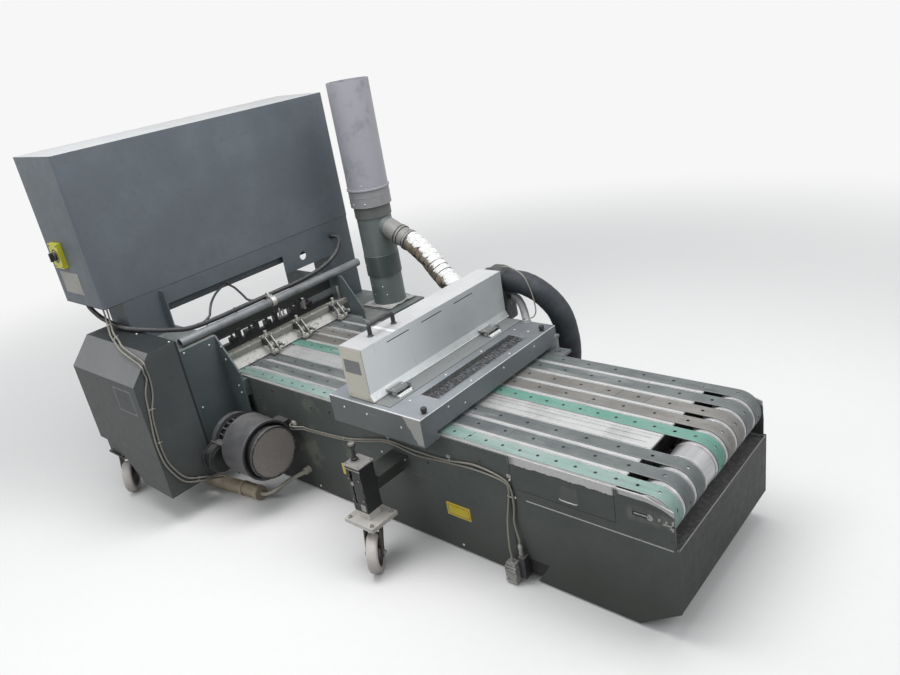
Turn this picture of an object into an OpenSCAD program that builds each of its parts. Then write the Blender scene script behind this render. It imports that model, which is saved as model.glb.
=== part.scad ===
// Sheet dryer with a vacuum belt table, a tilting lamp head over a bridge,
// a portal that carries a large control cabinet, and an exhaust stack.
// Millimetres. +X is the way sheets travel, +Y goes across the table away
// from the operator's side, +Z is up, and Z = 0 is the floor.

/* [Belt table] */
// Length of the belt table
table_len = 2370; // [2200:1:2600]
// Width between the outer faces of the side panels
table_w = 750; // [700:1:900]
// Height of the table's top edge above the floor
table_h = 540; // [500:1:620]
// Number of belt places
belt_places = 9; // [7:1:9]
// Width of one belt
belt_w = 60; // [40:1:70]
// Distance from a side panel's outer face to the first belt
belt_edge = 9; // [8:1:20]
// Outer radius of the belts over the delivery roller
belt_r = 80; // [60:1:84]

/* [Bridge and lamp head] */
// Length of the bridge along the table
bridge_len = 500; // [420:1:700]
// Height of the bridge's top above the table's top edge
bridge_rise = 110; // [95:1:160]
// Height of the lamp head
lamp_h = 220; // [150:1:260]
// Width of the lamp head along the table
lamp_w = 125; // [90:1:150]
// How far the lamp head reaches past each side panel
lamp_over = 70; // [62:1:100]

/* [Tower and cabinet] */
// Height of the control cabinet
cab_h = 711; // [600:1:800]
// Depth of the control cabinet along the table
cab_d = 407; // [350:1:430]
// Length of the control cabinet across the table
cab_len = 1550; // [1400:1:1600]
// Height of the cabinet's underside above the floor
cab_z = 968; // [930:1:1000]
// Height of the side housing's top above the floor
house_top = 840; // [800:1:870]
// Width of the side housing across the table
house_w = 243; // [220:1:260]

/* [Running gear] */
// Diameter of a castor wheel
wheel_d = 160; // [125:1:160]
// Swivel offset of a castor wheel
trail = 64; // [40:1:70]

/* [Ducts] */
// Outer diameter of the lower exhaust pipe
duct_d = 196; // [160:1:200]
// Outer diameter of the upper exhaust pipe
stack_d = 226; // [200:1:230]
// Height of the stack's open end above the floor
stack_top = 1735; // [1650:1:1800]

/* [Hidden] */
$fn = 64;
gap = 0.3;          // seat between pieces that touch on curved faces
end_gap = 0.8;      // seat of a cable's or pipe's end against what it enters
run = 0.05;         // radial running clearance of a pin in its bore

// sheet thicknesses
side_t = 6;         // side panels
plate_t = 9;        // castor plates
wing_t = 8;         // tall side plates of the tower end
lid_t = 4;          // top sheet of the bridge

// stations along X, with the outer face of the end tray at 0
x_feed = -table_len;
x_cab1 = -2609;                 // cabinet's face towards the table
x_cab0 = x_cab1 - cab_d;        // far end of the whole machine
x_house0 = -2788;
x_house1 = -2207;
x_tower1 = -2288;
x_wing = -2162;                 // delivery edge of the side plates
x_bridge1 = -934;
x_bridge0 = x_bridge1 - bridge_len;
x_lamp1 = -1208;
x_lamp0 = x_lamp1 - lamp_w;
x_cover0 = -625;
x_cover1 = -213;
x_roller = -15 - belt_r;
x_feed_axis = x_feed + 20 + belt_r;
// stations across Y, with the operator's side panel at 0
wing_in = 33;                   // from a side panel out to a tall side plate
y_wing0 = -wing_in;
y_wing1 = table_w + wing_in;
y_tower0 = -270;
y_house1 = y_tower0 - 4;
y_house0 = y_house1 - house_w;
y_cab0 = -360;
y_cab1 = y_cab0 + cab_len;
y_fan1 = 1230;
y_bridge0 = -92;
y_bridge1 = table_w + 60;
y_lamp0 = -lamp_over;
y_lamp1 = table_w + lamp_over;
// heights
z_table = table_h + 2.5;        // face of the perforated table
belt_t = 2.5;
z_belt = z_table + gap;         // underside of a belt's upper run
z_axis = z_belt + belt_t - belt_r;
z_tower = table_h + 212;
z_bar = table_h + 66;           // underside of the cream guide bar
z_fan = table_h - 60;
z_split = table_h - 169;        // seam between lower panel and upper side plates
z_cover = table_h - 137;
bridge_top = table_h + bridge_rise;
z_slot = bridge_top - 86;       // top of the passage under the bridge
z_lamp = bridge_top + 4;
foot_h = 8;
z_house = 150;                  // underside of the housing and the tower
// the whole machine is centred on its outer box
x_min = x_cab0;
x_max = 0;
y_min = y_house0;
y_max = y_fan1;
shift = [-(x_min + x_max)/2, -(y_min + y_max)/2, 0];
// hinge of the lamp head
hinge_x = x_lamp1 + 58;
hinge_z = bridge_top + 17;
hinge_y = [45, 635];
hinge_half = 44;
hinge_r = 5;
// castors
castor_h = 200;
jack_c = [-1198, -204];
jack_a = -52;
side_c = [-2785, -428];
side_a = -38;
tread_w = 46;
// ducts
duct_c = [-2280, 1100];

steel = [0.36, 0.38, 0.37];
dark = [0.13, 0.13, 0.14];
cream = [0.82, 0.80, 0.72];
bare = [0.70, 0.70, 0.69];

module place() { translate(shift) children(); }
module bx(a, b) { translate(a) cube(b - a); }
// a plate drawn in the X-Z plane, between two Y values
module xz(y0, y1) {
  translate([0, y1, 0]) rotate([90, 0, 0]) linear_extrude(y1 - y0) children();
}
// a plate drawn in the Y-Z plane, between two X values
module yz(x0, x1) {
  translate([x0, 0, 0]) rotate([90, 0, 90]) linear_extrude(x1 - x0) children();
}
module rodx(x0, x1, y, z, r) {
  translate([x0, y, z]) rotate([0, 90, 0]) cylinder(h = x1 - x0, r = r);
}
module rody(y0, y1, x, z, r) {
  translate([x, y0, z]) rotate([-90, 0, 0]) cylinder(h = y1 - y0, r = r);
}
module rodz(z0, z1, x, y, r) { translate([x, y, z0]) cylinder(h = z1 - z0, r = r); }
// a block with rounded upright edges
module rbox(a, b, r) {
  d = b - a;
  translate(a) linear_extrude(d[2]) union() {
    translate([r, 0]) square([d[0] - 2*r, d[1]]);
    translate([0, r]) square([d[0], d[1] - 2*r]);
    for (i = [r, d[0] - r], j = [r, d[1] - r]) translate([i, j]) circle(r, $fn = 32);
  }
}

// tower, cabinet and portal

module cabinet() color(steel) place() {
  rbox([x_cab0, y_cab0, cab_z], [x_cab1, y_cab1, cab_z + cab_h], 14);
}

knob_x = -2880;
knob_z = cab_z + 250;
isolator = [92, 22, 120];       // width, depth and height of the switch's plate
module isolator_plate() color([0.85, 0.76, 0.15]) place() {
  bx([knob_x - isolator[0]/2, y_cab0 - isolator[1], knob_z - isolator[2]/2],
    [knob_x + isolator[0]/2, y_cab0, knob_z + isolator[2]/2]);
}
module isolator_knob() color(dark) place() {
  translate([knob_x, y_cab0 - isolator[1] - gap, knob_z]) rotate([90, 0, 0]) {
    cylinder(h = 10, r = 25);
    translate([0, 0, 10]) cylinder(h = 4, r1 = 25, r2 = 21);
    translate([-6.5, -24, 10]) cube([13, 48, 18]);
  }
}

post_y1 = -75;                  // inner side of the near post
far_post = [1000, 1178];
beam_h = 86;
module portal() color(steel) place() {
  // near post with its bolted flange, far post, and beams under the cabinet
  bx([x_house0, y_tower0, z_tower], [x_cab1, post_y1, cab_z]);
  bx([x_cab1, post_y1 - 6, z_tower], [x_cab1 + 38, post_y1, cab_z - 6]);
  bx([x_house0, far_post[0], z_fan], [x_cab1, far_post[1], cab_z]);
  bx([x_cab1 - 34, post_y1, cab_z - beam_h], [x_cab1, far_post[0], cab_z]);
  bx([x_house0, post_y1, cab_z - 60], [x_house0 + 40, far_post[0], cab_z]);
  // dark cable tray between the beams
  bx([x_cab1 - 72, post_y1, cab_z - 130], [x_cab1 - 34, far_post[0], cab_z - 60]);
  // web beside the far post, with its round hole
  difference() {
    bx([x_cab1 - 6, 665, cab_z - 190], [x_cab1, far_post[0], cab_z - beam_h]);
    rodx(x_cab1 - 20, x_cab1 + 20, 805, cab_z - 128, 24);
  }
}

house_edge = 109;               // width of the sloping edge along the housing's top
module side_housing() color(steel) place() {
  difference() {
    xz(y_house0, y_house1) polygon([[x_house0, house_top], [x_house0, z_house + 180],
      [x_house0 + 148, z_house + 180], [x_house0 + 338, z_house + 5], [x_house1, z_house],
      [x_house1, house_top]]);
    yz(x_house0 - 1, x_house1 + 1) polygon([[y_house0 - 1, house_top - 117],
      [y_house0 - 1, house_top + 1], [y_house0 + house_edge, house_top + 1],
      [y_house0 + house_edge, house_top], [y_house0, house_top - 117]]);
  }
  // pads that bolt it to the tower
  for (x = [-2720, -2400], z = [420, 700]) bx([x - 30, y_house1, z - 30], [x + 30, y_tower0, z + 30]);
  // bracket and top plate of the castor
  bx([side_c[0] - 66, y_house0 + 44, castor_h + plate_t], [side_c[0] + 135, y_house1, z_house + 180]);
  bx([side_c[0] - 70, side_c[1] - 55, castor_h], [side_c[0] + 70, side_c[1] + 55,
    castor_h + plate_t]);
}

module tower() color(steel) place() {
  bx([x_house0, y_tower0, z_house], [x_tower1, y_wing0 - wing_t, z_tower]);
}

module wing_shape() {
  polygon([[x_house0, z_split], [x_house0, z_tower], [x_tower1, z_tower],
    [x_wing, table_h + 38], [x_wing, z_house + 180], [x_wing - 158, z_house],
    [x_wing - 338, z_house]]);
}
module side_plates() color(steel) place() {
  xz(y_wing0 - wing_t, y_wing0) wing_shape();
  xz(y_wing1, y_wing1 + wing_t) wing_shape();
  // spacers that carry the belt table between the plates
  for (z = [[z_house + 20, z_split - 31], [table_h - 95, table_h - 10]], y = [[y_wing0, 0],
    [table_w, y_wing1]]) bx([x_feed + 30, y[0], z[0]], [x_wing - 12, y[1], z[1]]);
}

collar = [-2470, -2180];        // pale bent plate under the stack, along X
module fan_box() color(steel) place() {
  bx([collar[0] - 30, y_wing1 + wing_t, z_house], [collar[1] + 50, y_fan1, z_fan]);
  bx([x_house0, y_wing1 + wing_t, castor_h + 2*plate_t], [collar[0] - 30, y_fan1 - 30, z_fan]);
  difference() {
    bx([collar[0], duct_c[1] - 120, z_fan], [collar[1], y_fan1 - 10, z_fan + 4]);
    rodz(z_fan - 1, z_fan + 6, duct_c[0], duct_c[1], duct_d/2 - 8);
  }
}

tube = [-2330, 22, 3];          // X place, radius and wall of the pale tube
tube_y = [-196, 954];
clamp_y = 345;
module guide_tube() color(bare) place() {
  z = z_tower + tube[1] + gap;
  difference() {
    rody(tube_y[0], tube_y[1], tube[0], z, tube[1]);
    rody(tube_y[0] - 1, tube_y[0] + 46, tube[0], z, tube[1] - tube[2]);
    rody(tube_y[1] - 46, tube_y[1] + 1, tube[0], z, tube[1] - tube[2]);
  }
  // clamp at the middle, with a tab that holds the cable beside the tube
  difference() {
    union() {
      rody(clamp_y - 14, clamp_y + 14, tube[0], z, tube[1] + 5);
      bx([tube[0] - 56, clamp_y - 14, z + 8], [tube[0] - 20, clamp_y + 14, z + 12]);
    }
    rody(clamp_y - 15, clamp_y + 15, tube[0], z, tube[1]);
  }
}

rail_x = -2405;
module feed_bar() color(dark) place() {
  // square bar, thin rail above it, the blocks that hang from the rail, and
  // the flat beam over the rail that hides the machine's inside from above
  bx([rail_x - 12, y_wing0, z_bar], [rail_x + 12, y_wing1, z_bar + 32]);
  rody(y_wing0, y_wing1, rail_x, z_bar + 74, 6);
  bx([rail_x - 5, y_wing0, z_bar + 74], [rail_x + 5, y_wing1, z_bar + 138]);
  for (y = [150, 262, 385, 540]) bx([rail_x - 12, y - 12, z_bar + 32], [rail_x + 12, y + 12, z_bar + 86]);
}

roll_y = [225, 428, 680];
roll_r = 15;
roll_x = -2232;
roll_z = z_belt + belt_t + roll_r + 0.5;
pin_r = 4;
bar_x = [-2300, -2276];
module guide_bar() color(cream) place() {
  z = z_bar + 24;
  bx([bar_x[0], y_wing0, z_bar], [bar_x[1], y_wing1, z]);
  // sloping guide sheets, one behind the bar and one below it
  xz(0, table_w) polygon([[bar_x[0] - 150, z_bar - 2], [bar_x[0] - 150, z_bar], [bar_x[0] + 2, z_bar],
    [bar_x[0] + 2, z_bar + 4], [bar_x[0] + 10, z_bar + 4], [bar_x[1] + 16, z_table + 8],
    [bar_x[1] + 10, z_table + 8], [bar_x[0] + 6, z_bar - 2]]);
  for (y = roll_y) {
    bx([bar_x[0] - 4, y - 24, z], [bar_x[1] + 6, y + 24, z + 10]);
    for (s = [-1, 1]) difference() {
      xz(y + s*17 - 2.5, y + s*17 + 2.5) polygon([[bar_x[1], z - 22], [bar_x[1], z + 10],
        [bar_x[1] + 12, z + 10], [roll_x + 12, roll_z + 26], [roll_x + 16, roll_z - 9],
        [roll_x - 10, roll_z - 9], [bar_x[1] + 22, z_bar - 2]]);
      rody(y - 30, y + 30, roll_x, roll_z, pin_r + run);
    }
  }
}
module holddown_rollers() color([0.75, 0.74, 0.70]) place() {
  for (y = roll_y) {
    rody(y - 12, y + 12, roll_x, roll_z, roll_r);
    rody(y - 24, y + 36, roll_x, roll_z, pin_r);
    rody(y + 25, y + 37, roll_x, roll_z, 9);
  }
}

// belt table

module base_body() color(dark) place() {
  bx([x_feed, side_t, 30], [x_cover1 - 40, table_w - side_t, z_axis - belt_r - 25]);
  for (x = [x_feed + 160, -1500, -760, -330], y = [90, table_w - 90]) {
    rodz(0, foot_h, x, y, 38);
    rodz(foot_h, 30, x, y, 12);
  }
}

vacuum_depth = 92;
module vacuum_box() color(dark) place() {
  bx([x_feed_axis + belt_r, side_t, z_table - 8 - vacuum_depth], [x_cover1 - 8,
    table_w - side_t, z_table - 8]);
}

function belt_y(i) = belt_edge + belt_w/2 + i*(table_w - 2*belt_edge - belt_w)/(belt_places - 1);
green_places = [0, 4];
missing_places = [3];

table_x0 = x_feed_axis + 45;
table_x1 = x_cover1 + 8;
strip_w = 12;
groove_w = 4;
module table_plate() color(bare) place() {
  difference() {
    bx([table_x0, side_t, z_table - 8], [table_x1, table_w - side_t, z_table]);
    // two grooves along the bare place
    for (i = missing_places, s = [-1, 1]) bx([x_bridge1, belt_y(i) + s*15 - groove_w/2, z_table - 2],
      [table_x1 - 30, belt_y(i) + s*15 + groove_w/2, z_table + 1]);
  }
  // bright strips between the belts
  for (i = [0 : belt_places - 2]) bx([table_x0, (belt_y(i) + belt_y(i + 1))/2 - strip_w/2, z_table],
    [table_x1 - 4, (belt_y(i) + belt_y(i + 1))/2 + strip_w/2, z_table + 2]);
}

module loop2d(d) {
  union() {
    translate([x_feed_axis, z_axis]) circle(belt_r - d, $fn = 96);
    translate([x_roller, z_axis]) circle(belt_r - d, $fn = 96);
    translate([x_feed_axis, z_axis - belt_r + d]) square([x_roller - x_feed_axis, 2*(belt_r - d)]);
  }
}
module belt(i) {
  xz(belt_y(i) - belt_w/2, belt_y(i) + belt_w/2) difference() {
    loop2d(0);
    loop2d(belt_t);
  }
}
module belts_green() color([0.45, 0.66, 0.60]) place() {
  for (i = green_places) belt(i);
}
module belts_grey() color([0.40, 0.41, 0.41]) place() {
  for (i = [0 : belt_places - 1])
    if (len(search(i, concat(green_places, missing_places))) == 0) belt(i);
}

roller_r = belt_r - belt_t - gap;
shaft_r = 12;
module roller(x, shaft) {
  rody(side_t + 8, table_w - side_t - 8, x, z_axis, roller_r);
  rody(side_t - shaft, table_w - side_t + shaft, x, z_axis, shaft_r);
}
module delivery_roller() color([0.80, 0.80, 0.79]) place() { roller(x_roller, side_t - 1); }
module feed_roller() color([0.80, 0.80, 0.79]) place() { roller(x_feed_axis, 0); }

corner = [-150, 118];           // lower delivery corner of both side panels, cut off
notch = [-607, -501, -560, 101]; // cable notch: left, right, lower right, height
module front_panel() color(steel) place() {
  difference() {
    xz(0, side_t) polygon([[x_feed, foot_h], [x_feed, table_h], [x_cover0, table_h],
      [x_cover0, z_cover], [x_cover1, z_cover], [x_cover1, z_split], [0, z_split],
      [0, corner[1]], [corner[0], foot_h], [notch[2], foot_h], [notch[1], notch[3]],
      [notch[0], notch[3]], [notch[0], foot_h]]);
    // thin seam between the long panel and the delivery panel
    bx([x_cover0 - 17, -1, 0], [x_cover0 - 15, 1.5, z_cover - 20]);
  }
}

module side_cover() color(steel) place() {
  difference() {
    bx([x_cover0 + 1, 0, z_cover + 1], [x_cover1 - 1, side_t, table_h]);
    // recessed grip
    translate([x_cover0 + 198, -1, z_cover + 18]) cube([75, 4.5, 62]);
  }
}

module back_panel() color(steel) place() {
  xz(table_w - side_t, table_w) polygon([[x_feed, foot_h], [x_feed, table_h], [x_cover1, table_h],
    [x_cover1, z_split], [0, z_split], [0, corner[1]], [corner[0], foot_h]]);
}

module end_shape() {
  difference() {
    polygon([[x_cover1, z_split], [x_cover1, table_h], [-110, table_h], [-15, table_h - 29],
      [-10, table_h - 110], [-10, z_split]]);
    translate([x_roller, z_axis]) circle(shaft_r + run);
    // slot of the belt tensioner
    translate([x_roller - 53, z_axis - 5]) square([36, 10]);
  }
}
module end_plates() color(steel) place() {
  xz(0, side_t) end_shape();
  xz(table_w - side_t, table_w) end_shape();
}

tray_z = 120;                   // underside of the end tray
tray_wall = 4;
module end_tray() color(steel) place() {
  difference() {
    bx([x_cover1 - 40, side_t, tray_z], [0, table_w - side_t, z_split - 3]);
    bx([x_cover1 - 37, side_t + tray_wall, tray_z + 130], [-tray_wall, table_w - side_t - tray_wall,
      z_split]);
  }
}

// bridge and lamp head

win = [[-1068, 64], [-980, 654]];
leg_in = 14;                    // inner face of a bridge leg, out from the side panel
module bridge_frame() color(steel) place() {
  difference() {
    bx([x_bridge0, y_bridge0, table_h + 5], [x_bridge1, y_bridge1, bridge_top]);
    bx([x_bridge0 - 1, -leg_in, table_h], [x_bridge1 + 1, table_w + leg_in, z_slot]);
    bx([x_bridge0 + 5, -leg_in, z_slot - 4], [x_bridge1 - 5, table_w + leg_in, bridge_top - lid_t]);
    bx([win[0][0], win[0][1], bridge_top - 10], [win[1][0], win[1][1], bridge_top + 1]);
  }
  // flat bars that carry the legs on the table's sides, and the far clamp screw
  bx([x_bridge0, y_bridge0, table_h - 8], [x_bridge1, 0, table_h + 5]);
  bx([x_bridge0, table_w, table_h - 8], [x_bridge1 + 72, y_bridge1, table_h + 5]);
  rodz(table_h + 5, table_h + 80, x_bridge1 + 29, table_w + 25, 6);
  for (z = [5, 74]) translate([x_bridge1 + 29, table_w + 25, table_h + z]) cylinder(h = 10, r = 12, $fn = 6);
}
module brush_strip() color([0.22, 0.21, 0.21]) place() {
  bx([win[0][0] - 8, win[0][1] - 8, bridge_top - lid_t - 5], [win[1][0] + 8, win[1][1] + 8,
    bridge_top - lid_t]);
}
module bridge_knobs() color(dark) place() {
  for (y = [-40, table_w - 8]) {
    rodz(bridge_top, bridge_top + 10, x_bridge1 - 24, y, 9);
    rodz(bridge_top + 10, bridge_top + 24, x_bridge1 - 24, y, 11);
  }
}

base_t = 3;                     // base plate under the lamp head
ear_t = 6;
module lamp_base() color([0.62, 0.62, 0.61]) place() {
  bx([x_lamp0 - 8, y_lamp0 + 4, bridge_top], [x_lamp1 + 98, y_bridge1 - 10, bridge_top + base_t]);
  for (y = hinge_y) {
    bx([hinge_x + 10, y - hinge_half, bridge_top + base_t], [hinge_x + 22, y + hinge_half,
      bridge_top + base_t + 5]);
    for (s = [-1, 1]) difference() {
      bx([hinge_x - 12, y + s*(hinge_half - ear_t/2) - ear_t/2, bridge_top + base_t],
        [hinge_x + 12, y + s*(hinge_half - ear_t/2) + ear_t/2, hinge_z + 11]);
      rody(y - 2*hinge_half, y + 2*hinge_half, hinge_x, hinge_z, hinge_r + run);
    }
  }
}
slit = [128, 3];                // length and height of a cooling slit
module lamp_head() color([0.80, 0.80, 0.79]) place() {
  difference() {
    bx([x_lamp0, y_lamp0, z_lamp], [x_lamp1, y_lamp1, z_lamp + lamp_h]);
    for (y = [69, 272, 480]) translate([x_lamp1 - 3, y, z_lamp + lamp_h - 27]) cube([4, slit[0], slit[1]]);
  }
  // skirt along the foot, which ends in the pale lip
  xz(y_lamp0, y_lamp1) polygon([[x_lamp1 - 1, z_lamp], [x_lamp1 + 16, z_lamp], [x_lamp1 + 16, z_lamp + 4],
    [x_lamp1, z_lamp + 30], [x_lamp1 - 1, z_lamp + 30]]);
  for (y = hinge_y) {
    bx([x_lamp1, y - hinge_half + ear_t + 1, hinge_z + 3], [hinge_x + 2, y + hinge_half - ear_t - 1,
      hinge_z + 8]);
    rody(y - hinge_half + 1, y + hinge_half - 1, hinge_x, hinge_z, hinge_r);
  }
}
handle_y = [48, 180];
module lamp_handle() color(dark) place() {
  hx = (x_lamp0 + x_lamp1)/2;
  hz = z_lamp + lamp_h;
  for (y = handle_y) rodz(hz, hz + 44, hx, y, 9);
  rody(handle_y[0] - 9, handle_y[1] + 9, hx, hz + 48, 9);
}

// running gear

jack_half = 38;                 // half width of the jack's square box
jack_wall = 8;
jack_z = [table_h - 285, table_h - 79];
jack_arm_z = table_h - 150;
module jack_box() color(dark) place() {
  h = jack_half;
  z1 = jack_z[1];
  difference() {
    bx([jack_c[0] - h, jack_c[1] - h, jack_z[0]], [jack_c[0] + h, jack_c[1] + h, z1]);
    bx([jack_c[0] - h + jack_wall, jack_c[1] - h + jack_wall, jack_z[0] - 5],
      [jack_c[0] + h - jack_wall, jack_c[1] + h - jack_wall, z1 - 8]);
    bx([jack_c[0] - 22, jack_c[1] - h - 1, jack_z[0] + 35], [jack_c[0] - 8,
      jack_c[1] - h + jack_wall + 1, z1 - 21]);
  }
  // bright lid that stands out all round
  bx([jack_c[0] - h - 5, jack_c[1] - h - 4, z1], [jack_c[0] + h + 6, jack_c[1] + h + 3, z1 + 6]);
  // arm to the side panel: a flat plate and the upright web below it
  bx([jack_c[0] - h, jack_c[1] + h, jack_arm_z - 8], [jack_c[0] + h + 16, 0, jack_arm_z]);
  bx([jack_c[0] - 6, jack_c[1] + h, jack_arm_z - 90], [jack_c[0] + 6, 0, jack_arm_z - 8]);
  // screw and its head
  rodz(z1 + 6, z1 + 68, jack_c[0] - 18, jack_c[1], 7);
  for (z = [6, 64]) translate([jack_c[0] - 18, jack_c[1], z1 + z]) cylinder(h = 11, r = 14, $fn = 6);
}
jack_plate = [80, 70];
module jack_slide() color([0.42, 0.42, 0.41]) place() {
  w = jack_half - jack_wall - 2*gap;
  bx([jack_c[0] - w, jack_c[1] - w, castor_h + 2*plate_t], [jack_c[0] + w, jack_c[1] + w, jack_z[1] - 61]);
  bx([jack_c[0] - jack_plate[0], jack_c[1] - jack_plate[1], castor_h], [jack_c[0] + jack_plate[0],
    jack_c[1] + jack_plate[1], castor_h + 2*plate_t]);
}
// fork of one castor, standing at the origin
axle_r = 8;
module fork(top) {
  h0 = wheel_d/2;
  translate([0, 0, top - 6]) cylinder(h = 6 - gap, r = 38);
  translate([0, 0, top - 26]) cylinder(h = 20, r = 32);
  for (s = [-1, 1]) difference() {
    xz(s*(tread_w/2 + 8) - 3, s*(tread_w/2 + 8) + 3) polygon([[-30, top - 8], [34, top - 8],
      [trail + 18, h0 + 4], [trail + 14, h0 - 16], [trail - 14, h0 - 16],
      [trail - 20, h0 + 4], [-30, top - 40]]);
    rody(-60, 60, trail, h0, axle_r + run);
  }
  bx([-30, -tread_w/2 - 11, top - 22], [34, tread_w/2 + 11, top - 16]);
}
module wheel() {
  translate([trail, 0, wheel_d/2]) rotate([90, 0, 0]) {
    translate([0, 0, -tread_w/2]) cylinder(h = tread_w, r = wheel_d/2, $fn = 96);
    translate([0, 0, -tread_w/2 - 3]) cylinder(h = tread_w + 6, r = 22);
    translate([0, 0, -tread_w/2 - 16]) cylinder(h = tread_w + 32, r = axle_r);
  }
}
module at(c, a) { translate([c[0], c[1], 0]) rotate([0, 0, a]) children(); }
module jack_fork() color([0.45, 0.44, 0.42]) place() at(jack_c, jack_a) fork(castor_h);
module jack_wheel() color([0.66, 0.64, 0.60]) place() at(jack_c, jack_a) wheel();
module side_fork() color([0.45, 0.44, 0.42]) place() at(side_c, side_a) fork(castor_h);
module side_wheel() color([0.66, 0.64, 0.60]) place() at(side_c, side_a) wheel();

far_jack = [-1220, table_w + 190];
far_corner = [-2640, 1090];
module far_castors() color([0.45, 0.44, 0.42]) place() {
  for (c = [far_jack, far_corner]) at(c, 40) {
    difference() {
      fork(castor_h);
      rody(-70, 70, trail, wheel_d/2, axle_r + run);
    }
    wheel();
  }
  bx([far_corner[0] - 70, far_corner[1] - 65, castor_h], [far_corner[0] + 70, far_corner[1] + 65,
    castor_h + 2*plate_t]);
  bx([far_jack[0] - 76, far_jack[1] - 68, castor_h], [far_jack[0] + 76, far_jack[1] + 68,
    castor_h + 2*plate_t]);
  bx([far_jack[0] - 38, table_w, castor_h + 2*plate_t], [far_jack[0] + 38, far_jack[1] + 38, jack_z[1]]);
}

// blower and the conduit on the floor

blow_y = -172;
blow_z = 306;
drum_x = [-2030, -1870];
drum_r = 140;
rib_n = 9;
cowl_x = [-2138, -2112];        // half ring behind the drum, round the motor
motor_r = 88;
module blower_drum() color([0.40, 0.39, 0.38]) place() {
  difference() {
    rodx(drum_x[0], drum_x[1], blow_y, blow_z, drum_r);
    rodx(drum_x[1] - 20, drum_x[1] + 10, blow_y, blow_z, drum_r - 10);
  }
  // half ring and ribs of the motor's cowl
  difference() {
    rodx(cowl_x[0], cowl_x[1], blow_y, blow_z, 124);
    rodx(cowl_x[0] - 1, cowl_x[1] + 1, blow_y, blow_z, 101);
    bx([cowl_x[0] - 1, blow_y - 130, blow_z - 130], [cowl_x[1] + 1, blow_y + 130, blow_z + 44]);
  }
  for (a = [25 : 130/(rib_n - 1) : 155]) translate([cowl_x[0] + 4, blow_y, blow_z]) rotate([a, 0, 0])
    translate([0, motor_r + 4, -3]) cube([drum_x[0] - cowl_x[0] - 4, 13, 6]);
  bx([cowl_x[0], blow_y - 122, blow_z + 40], [drum_x[0], blow_y - 94, blow_z + 47]);
  // bracket to the side panel
  bx([drum_x[0] + 30, blow_y, blow_z - 80], [drum_x[0] + 110, 0, blow_z + 60]);
}
// black motor, with the port that joins it to the side housing
module blower_motor() color(dark) place() {
  rodx(cowl_x[0], drum_x[0], blow_y, blow_z, motor_r);
  rodx(x_house1, cowl_x[0] + 14, -262, 238, 62);
}
module blower_grille() color([0.55, 0.52, 0.50]) place() {
  rodx(drum_x[1] - 20, drum_x[1] + 30, blow_y, blow_z, 112);
  rodx(drum_x[1] + 30, drum_x[1] + 42, blow_y, blow_z, 122);
}

function unit(v) = v/norm(v);
function side_of(t) = abs(t[2]) > 0.95 ? [1, 0, 0] : unit(cross(t, [0, 0, 1]));
function tangents(p) = [for (i = [0 : len(p) - 1]) unit(i == 0 ? p[1] - p[0]
  : i == len(p) - 1 ? p[i] - p[i - 1] : p[i + 1] - p[i - 1])];
// a tube swept through points, as one polyhedron with n sides
module sweep(p, r, n = 10) {
  t = tangents(p);
  pts = [for (i = [0 : len(p) - 1]) let (u = side_of(t[i]), v = cross(t[i], u))
    for (k = [0 : n - 1]) p[i] + r*(cos(360*k/n)*u + sin(360*k/n)*v)];
  faces = concat(
    [[for (k = [0 : n - 1]) k]],
    [for (i = [0 : len(p) - 2], k = [0 : n - 1]) [(i + 1)*n + k, (i + 1)*n + (k + 1)%n,
      i*n + (k + 1)%n, i*n + k]],
    [[for (k = [n - 1 : -1 : 0]) (len(p) - 1)*n + k]]);
  polyhedron(pts, faces, convexity = 8);
}
// a smooth curve through control points, with m steps between each two
function cr(a, b, c, d, t) = 0.5*((2*b) + (c - a)*t + (2*a - 5*b + 4*c - d)*t*t
  + (3*b - a - 3*c + d)*t*t*t);
function curve(p, m) = concat([for (i = [0 : len(p) - 2], k = [0 : m - 1])
  cr(p[max(i - 1, 0)], p[i], p[i + 1], p[min(i + 2, len(p) - 1)], k/m)], [p[len(p) - 1]]);

// corrugated conduit that comes from under the housing and lies on the floor
conduit_r = 34;
conduit_end = [-2010, -192, 40];
module conduit() color([0.62, 0.58, 0.50]) place() {
  sweep(curve([[-2486, -236, z_house - gap], [-2482, -236, 110], [-2440, -237, 58],
    [-2360, -236, 39], [-2240, -222, 37], [-2130, -205, 38], conduit_end], 4), conduit_r, 12);
}
// pale pipe from the conduit's sleeve up to a fitting on the side panel
module conduit_pipe() color([0.80, 0.79, 0.74]) place() {
  sweep(curve([conduit_end + [end_gap, 0, 0], conduit_end + [28, 3, 0.5], conduit_end + [62, 22, 12],
    [-1922, -134, 70], [-1890, -75, 92], [-1860, -24, 104]], 4), 10, 10);
  rody(-30, 0, -1858, 106, 18);
}

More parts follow.
